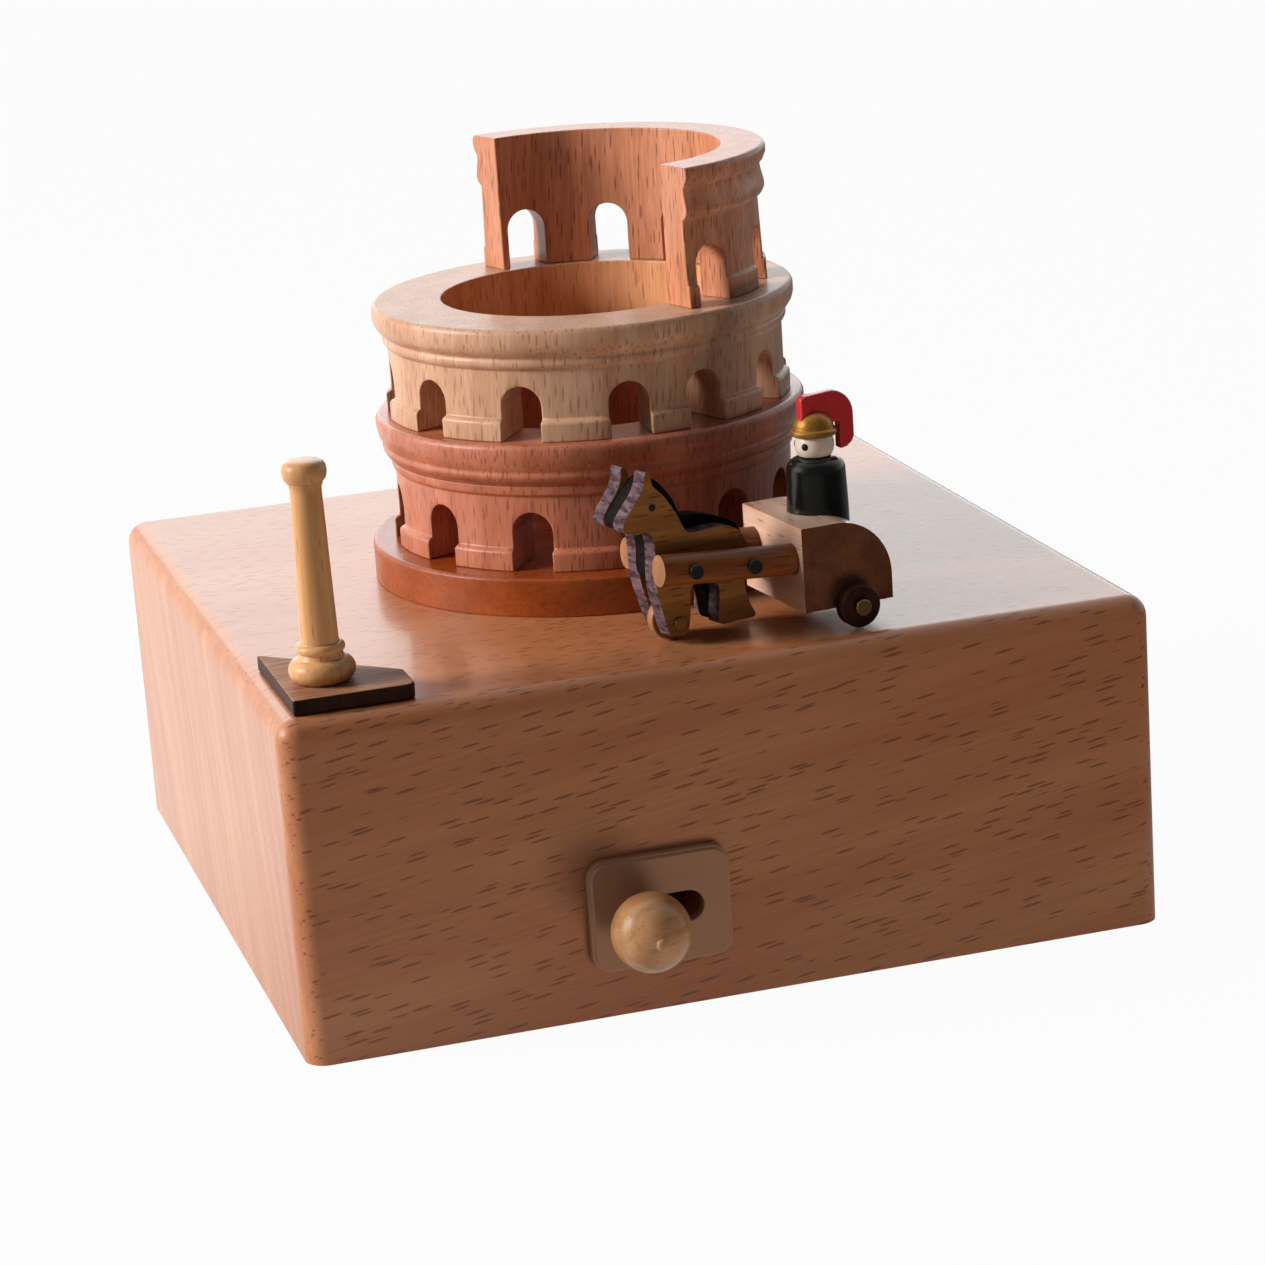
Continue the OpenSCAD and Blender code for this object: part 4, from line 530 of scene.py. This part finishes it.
# Column: bulging foot, a ring, a tapering shaft and a flat cap with a round rim
column = {"place": (-51.6, -49.8, 48.7), "steps": 64,
          "foot": ((2.8, 1.6), 1.6, -90, 80, 12),  # arcs: centre, radius, first and last angle, steps
          "waist": [(3.0, 3.3)],
          "ring": ((2.6, 4.5), 0.65, -70, 90, 8),
          "shaft": [(2.5, 5.4), (2.4, 9), (2.1, 23.2), (2.05, 25.0)],
          "lip": [(2.1, 25.8), (2.28, 26.05), (2.28, 26.3)],
          "cap": [(2.5, 26.5), (2.75, 26.85), (2.88, 27.35), (2.9, 27.9), (2.82, 28.4), (2.6, 28.8)],
          "top": [(2.25, 29.05), (1.2, 29.17), (0, 29.2)]}
profile = [(0, 0)] + arc(*column["foot"]) + column["waist"] + arc(*column["ring"])
profile += column["shaft"] + column["lip"] + column["cap"] + column["top"]
place = Matrix.Translation(Vector(column["place"]) * mm)
bm = turned(profile, place, column["steps"])
makePiece("turnedColumn", bm, [turnedBoxwood], "housing", ["column"])
print("column ready")

# What is left of the CAD nodes, nearly all inside the case, takes the finish of its slot
slotFinish = {
    "beech": caseBeech, "red_stain": stainedBeech, "pale_wood": knobWood, "dark_wood": plinthWood,
    "boxwood": turnedBoxwood, "brown_wood": horsePly, "charcoal_wood": charredPly, "wheel_wood": wheelWood,
    "plywood": coverPly, "plate_plastic": platePlastic, "black_lacquer": blackEnamel,
    "white_lacquer": whiteEnamel, "gold_lacquer": goldPaint, "red_lacquer": redEnamel, "brass": turnedBrass,
    "steel": zincPlatedSteel, "dark_steel": blueSteel, "zinc": castZinc, "iron": castIron,
    "magnet": nickelPlate, "white_nylon": whiteNylon, "black_nylon": blackNylon}
for part in frame["record"]["subparts"]:
    mesh = nodes[part["node"]].data
    mesh.materials.clear()
    mesh.materials.append(slotFinish[part["material_slot"]])
print("inner nodes finished")

# Pale floor that keeps the shadow but reads nearly white
floor = {"size": 6.0, "drop": 0.02, "tone": "#a3a19f", "whiteShare": 0.965, "dimShare": 0.2}
leftFade = {"From Min": 0.16, "From Max": -0.04, "To Min": floor["dimShare"]}  # along X in m
backFade = {"From Min": -0.15, "From Max": 0.05, "To Min": floor["dimShare"]}  # along Y in m
bm = bmesh.new()
bmesh.ops.create_grid(bm, x_segments=4, y_segments=4, size=floor["size"] / 2)
bmesh.ops.translate(bm, verts=bm.verts, vec=(0, 0, -floor["drop"] * mm))
mesh = bpy.data.meshes.new("paleFloor")
bm.to_mesh(mesh)
bm.free()
floorPiece = bpy.data.objects.new("paleFloor", mesh)
bpy.context.scene.collection.objects.link(floorPiece)
material, tree = newMaterial("paperFloor")
path = addNode(tree, "ShaderNodeLightPath")
paper = addNode(tree, "ShaderNodeBsdfDiffuse", {"Color": linear(floor["tone"])})
seen = addNode(tree, "ShaderNodeMath", {"operation": "MULTIPLY", 1: floor["whiteShare"]},
               {0: path.outputs["Is Camera Ray"]})
# In gloss it is white behind and to the left, where the light stands, and dim in front and to the right
coords = addNode(tree, "ShaderNodeTexCoord")
spot = addNode(tree, "ShaderNodeSeparateXYZ", None, {0: coords.outputs["Object"]})
leftward = addNode(tree, "ShaderNodeMapRange", leftFade, {"Value": spot.outputs["X"]})
backward = addNode(tree, "ShaderNodeMapRange", backFade, {"Value": spot.outputs["Y"]})
sheen = addNode(tree, "ShaderNodeMath", {"operation": "MULTIPLY"},
                {0: leftward.outputs[0], 1: backward.outputs[0]})
strength = addNode(tree, "ShaderNodeMath", {"operation": "MAXIMUM"},
                   {0: path.outputs["Is Camera Ray"], 1: sheen.outputs[0]})
glow = addNode(tree, "ShaderNodeEmission", {"Color": (1, 1, 1, 1)}, {"Strength": strength.outputs[0]})
share = addNode(tree, "ShaderNodeMath", {"operation": "MAXIMUM"},
                {0: seen.outputs[0], 1: path.outputs["Is Glossy Ray"]})
above = addNode(tree, "ShaderNodeMixShader", None,
                {0: share.outputs[0], 1: paper.outputs[0], 2: glow.outputs[0]})
# From below it is clear, so that the underside and the winding key can be seen
face = addNode(tree, "ShaderNodeNewGeometry")
clear = addNode(tree, "ShaderNodeBsdfTransparent")
both = addNode(tree, "ShaderNodeMixShader", None,
               {0: face.outputs["Backfacing"], 1: above.outputs[0], 2: clear.outputs[0]})
addNode(tree, "ShaderNodeOutputMaterial", links={"Surface": both.outputs[0]})
mesh.materials.append(material)
floorPiece.visible_shadow = False  # lets the lamp below it through

# White room: seen as white, mirrored as white towards the back, and lighting the object only softly
room = {"light": 0.12, "tint": "#f6f4f2", "frontShare": 0.1}
backRise = {"From Min": -0.5, "From Max": 0.5, "To Min": room["frontShare"]}  # along the Y of the direction
world = bpy.data.worlds.new("whiteRoom")
bpy.context.scene.world = world
world.use_nodes = True
tree = world.node_tree
tree.nodes.clear()
path = addNode(tree, "ShaderNodeLightPath")
coords = addNode(tree, "ShaderNodeTexCoord")
way = addNode(tree, "ShaderNodeSeparateXYZ", None, {0: coords.outputs["Generated"]})
behind = addNode(tree, "ShaderNodeMapRange", backRise, {"Value": way.outputs["Y"]})
mirrored = addNode(tree, "ShaderNodeMath", {"operation": "MAXIMUM"},
                   {0: path.outputs["Is Glossy Ray"], 1: path.outputs["Is Transmission Ray"]})
soft = addNode(tree, "ShaderNodeBackground", {"Color": linear(room["tint"]), "Strength": room["light"]})
backed = addNode(tree, "ShaderNodeBackground", {"Color": (1, 1, 1, 1)}, {"Strength": behind.outputs[0]})
white = addNode(tree, "ShaderNodeBackground", {"Color": (1, 1, 1, 1), "Strength": 1.0})
gloss = addNode(tree, "ShaderNodeMixShader", None,
                {0: mirrored.outputs[0], 1: soft.outputs[0], 2: backed.outputs[0]})
both = addNode(tree, "ShaderNodeMixShader", None,
               {0: path.outputs["Is Camera Ray"], 1: gloss.outputs[0], 2: white.outputs[0]})
addNode(tree, "ShaderNodeOutputWorld", None, {"Surface": both.outputs[0]})

# Large soft lamps: the key stands to the left and a little behind, half of it mirrored in gloss,
# a panel behind gives the tops their sheen, and the fill shines up through the floor, as on a light table
lamps = {
    # name: place in m, size in m, watts, colour, whether gloss mirrors it
    "keyLamp": ((-0.71, 0.09, 0.38), 0.34, 5.0, "#fffaf6", False),
    "keyGlint": ((-0.71, 0.09, 0.38), 0.34, 5.5, "#fffaf6", True),
    "backPanel": ((0.45, 1.9, 0.66), 1.8, 9.0, "#ffffff", True),
    "fillLamp": ((0.30, -0.76, -0.40), 0.4, 2.25, "#fff1e4", False),
}
lampAim = Vector((0, 0, 0.045))
for name, (spot, size, watts, tint, inGloss) in lamps.items():
    lamp = bpy.data.lights.new(name, "AREA")
    lamp.shape = "DISK"
    lamp.size = size
    lamp.energy = watts
    lamp.color = linear(tint)[:3]
    holder = bpy.data.objects.new(name, lamp)
    bpy.context.scene.collection.objects.link(holder)
    holder.location = spot
    holder.rotation_euler = (lampAim - Vector(spot)).to_track_quat("-Z", "Y").to_euler()
    holder.visible_camera = False
    holder.visible_glossy = inGloss
print("stage and lamps ready")

# Camera fitted to the photograph: place in mm and its right, up and forward directions
camera = {"place": (-137.337, -506.959, 183.922), "right": (0.95588738, -0.28613347, -0.06638488),
          "up": (0.13975912, 0.24426387, 0.95958457),
          "forward": (0.25835383, 0.92653267, -0.27347852), "lens": 106.54}
eye = bpy.data.cameras.new("photoCamera")
eye.lens = camera["lens"]
eye.sensor_width = 36
eye.clip_start = 0.01
eye.clip_end = 50
holder = bpy.data.objects.new("photoCamera", eye)
bpy.context.scene.collection.objects.link(holder)
turn = Matrix((camera["right"], camera["up"], [-c for c in camera["forward"]])).transposed().to_4x4()
holder.matrix_world = Matrix.Translation(Vector(camera["place"]) * mm) @ turn
bpy.context.scene.camera = holder
bpy.context.scene.view_settings.view_transform = "Standard"
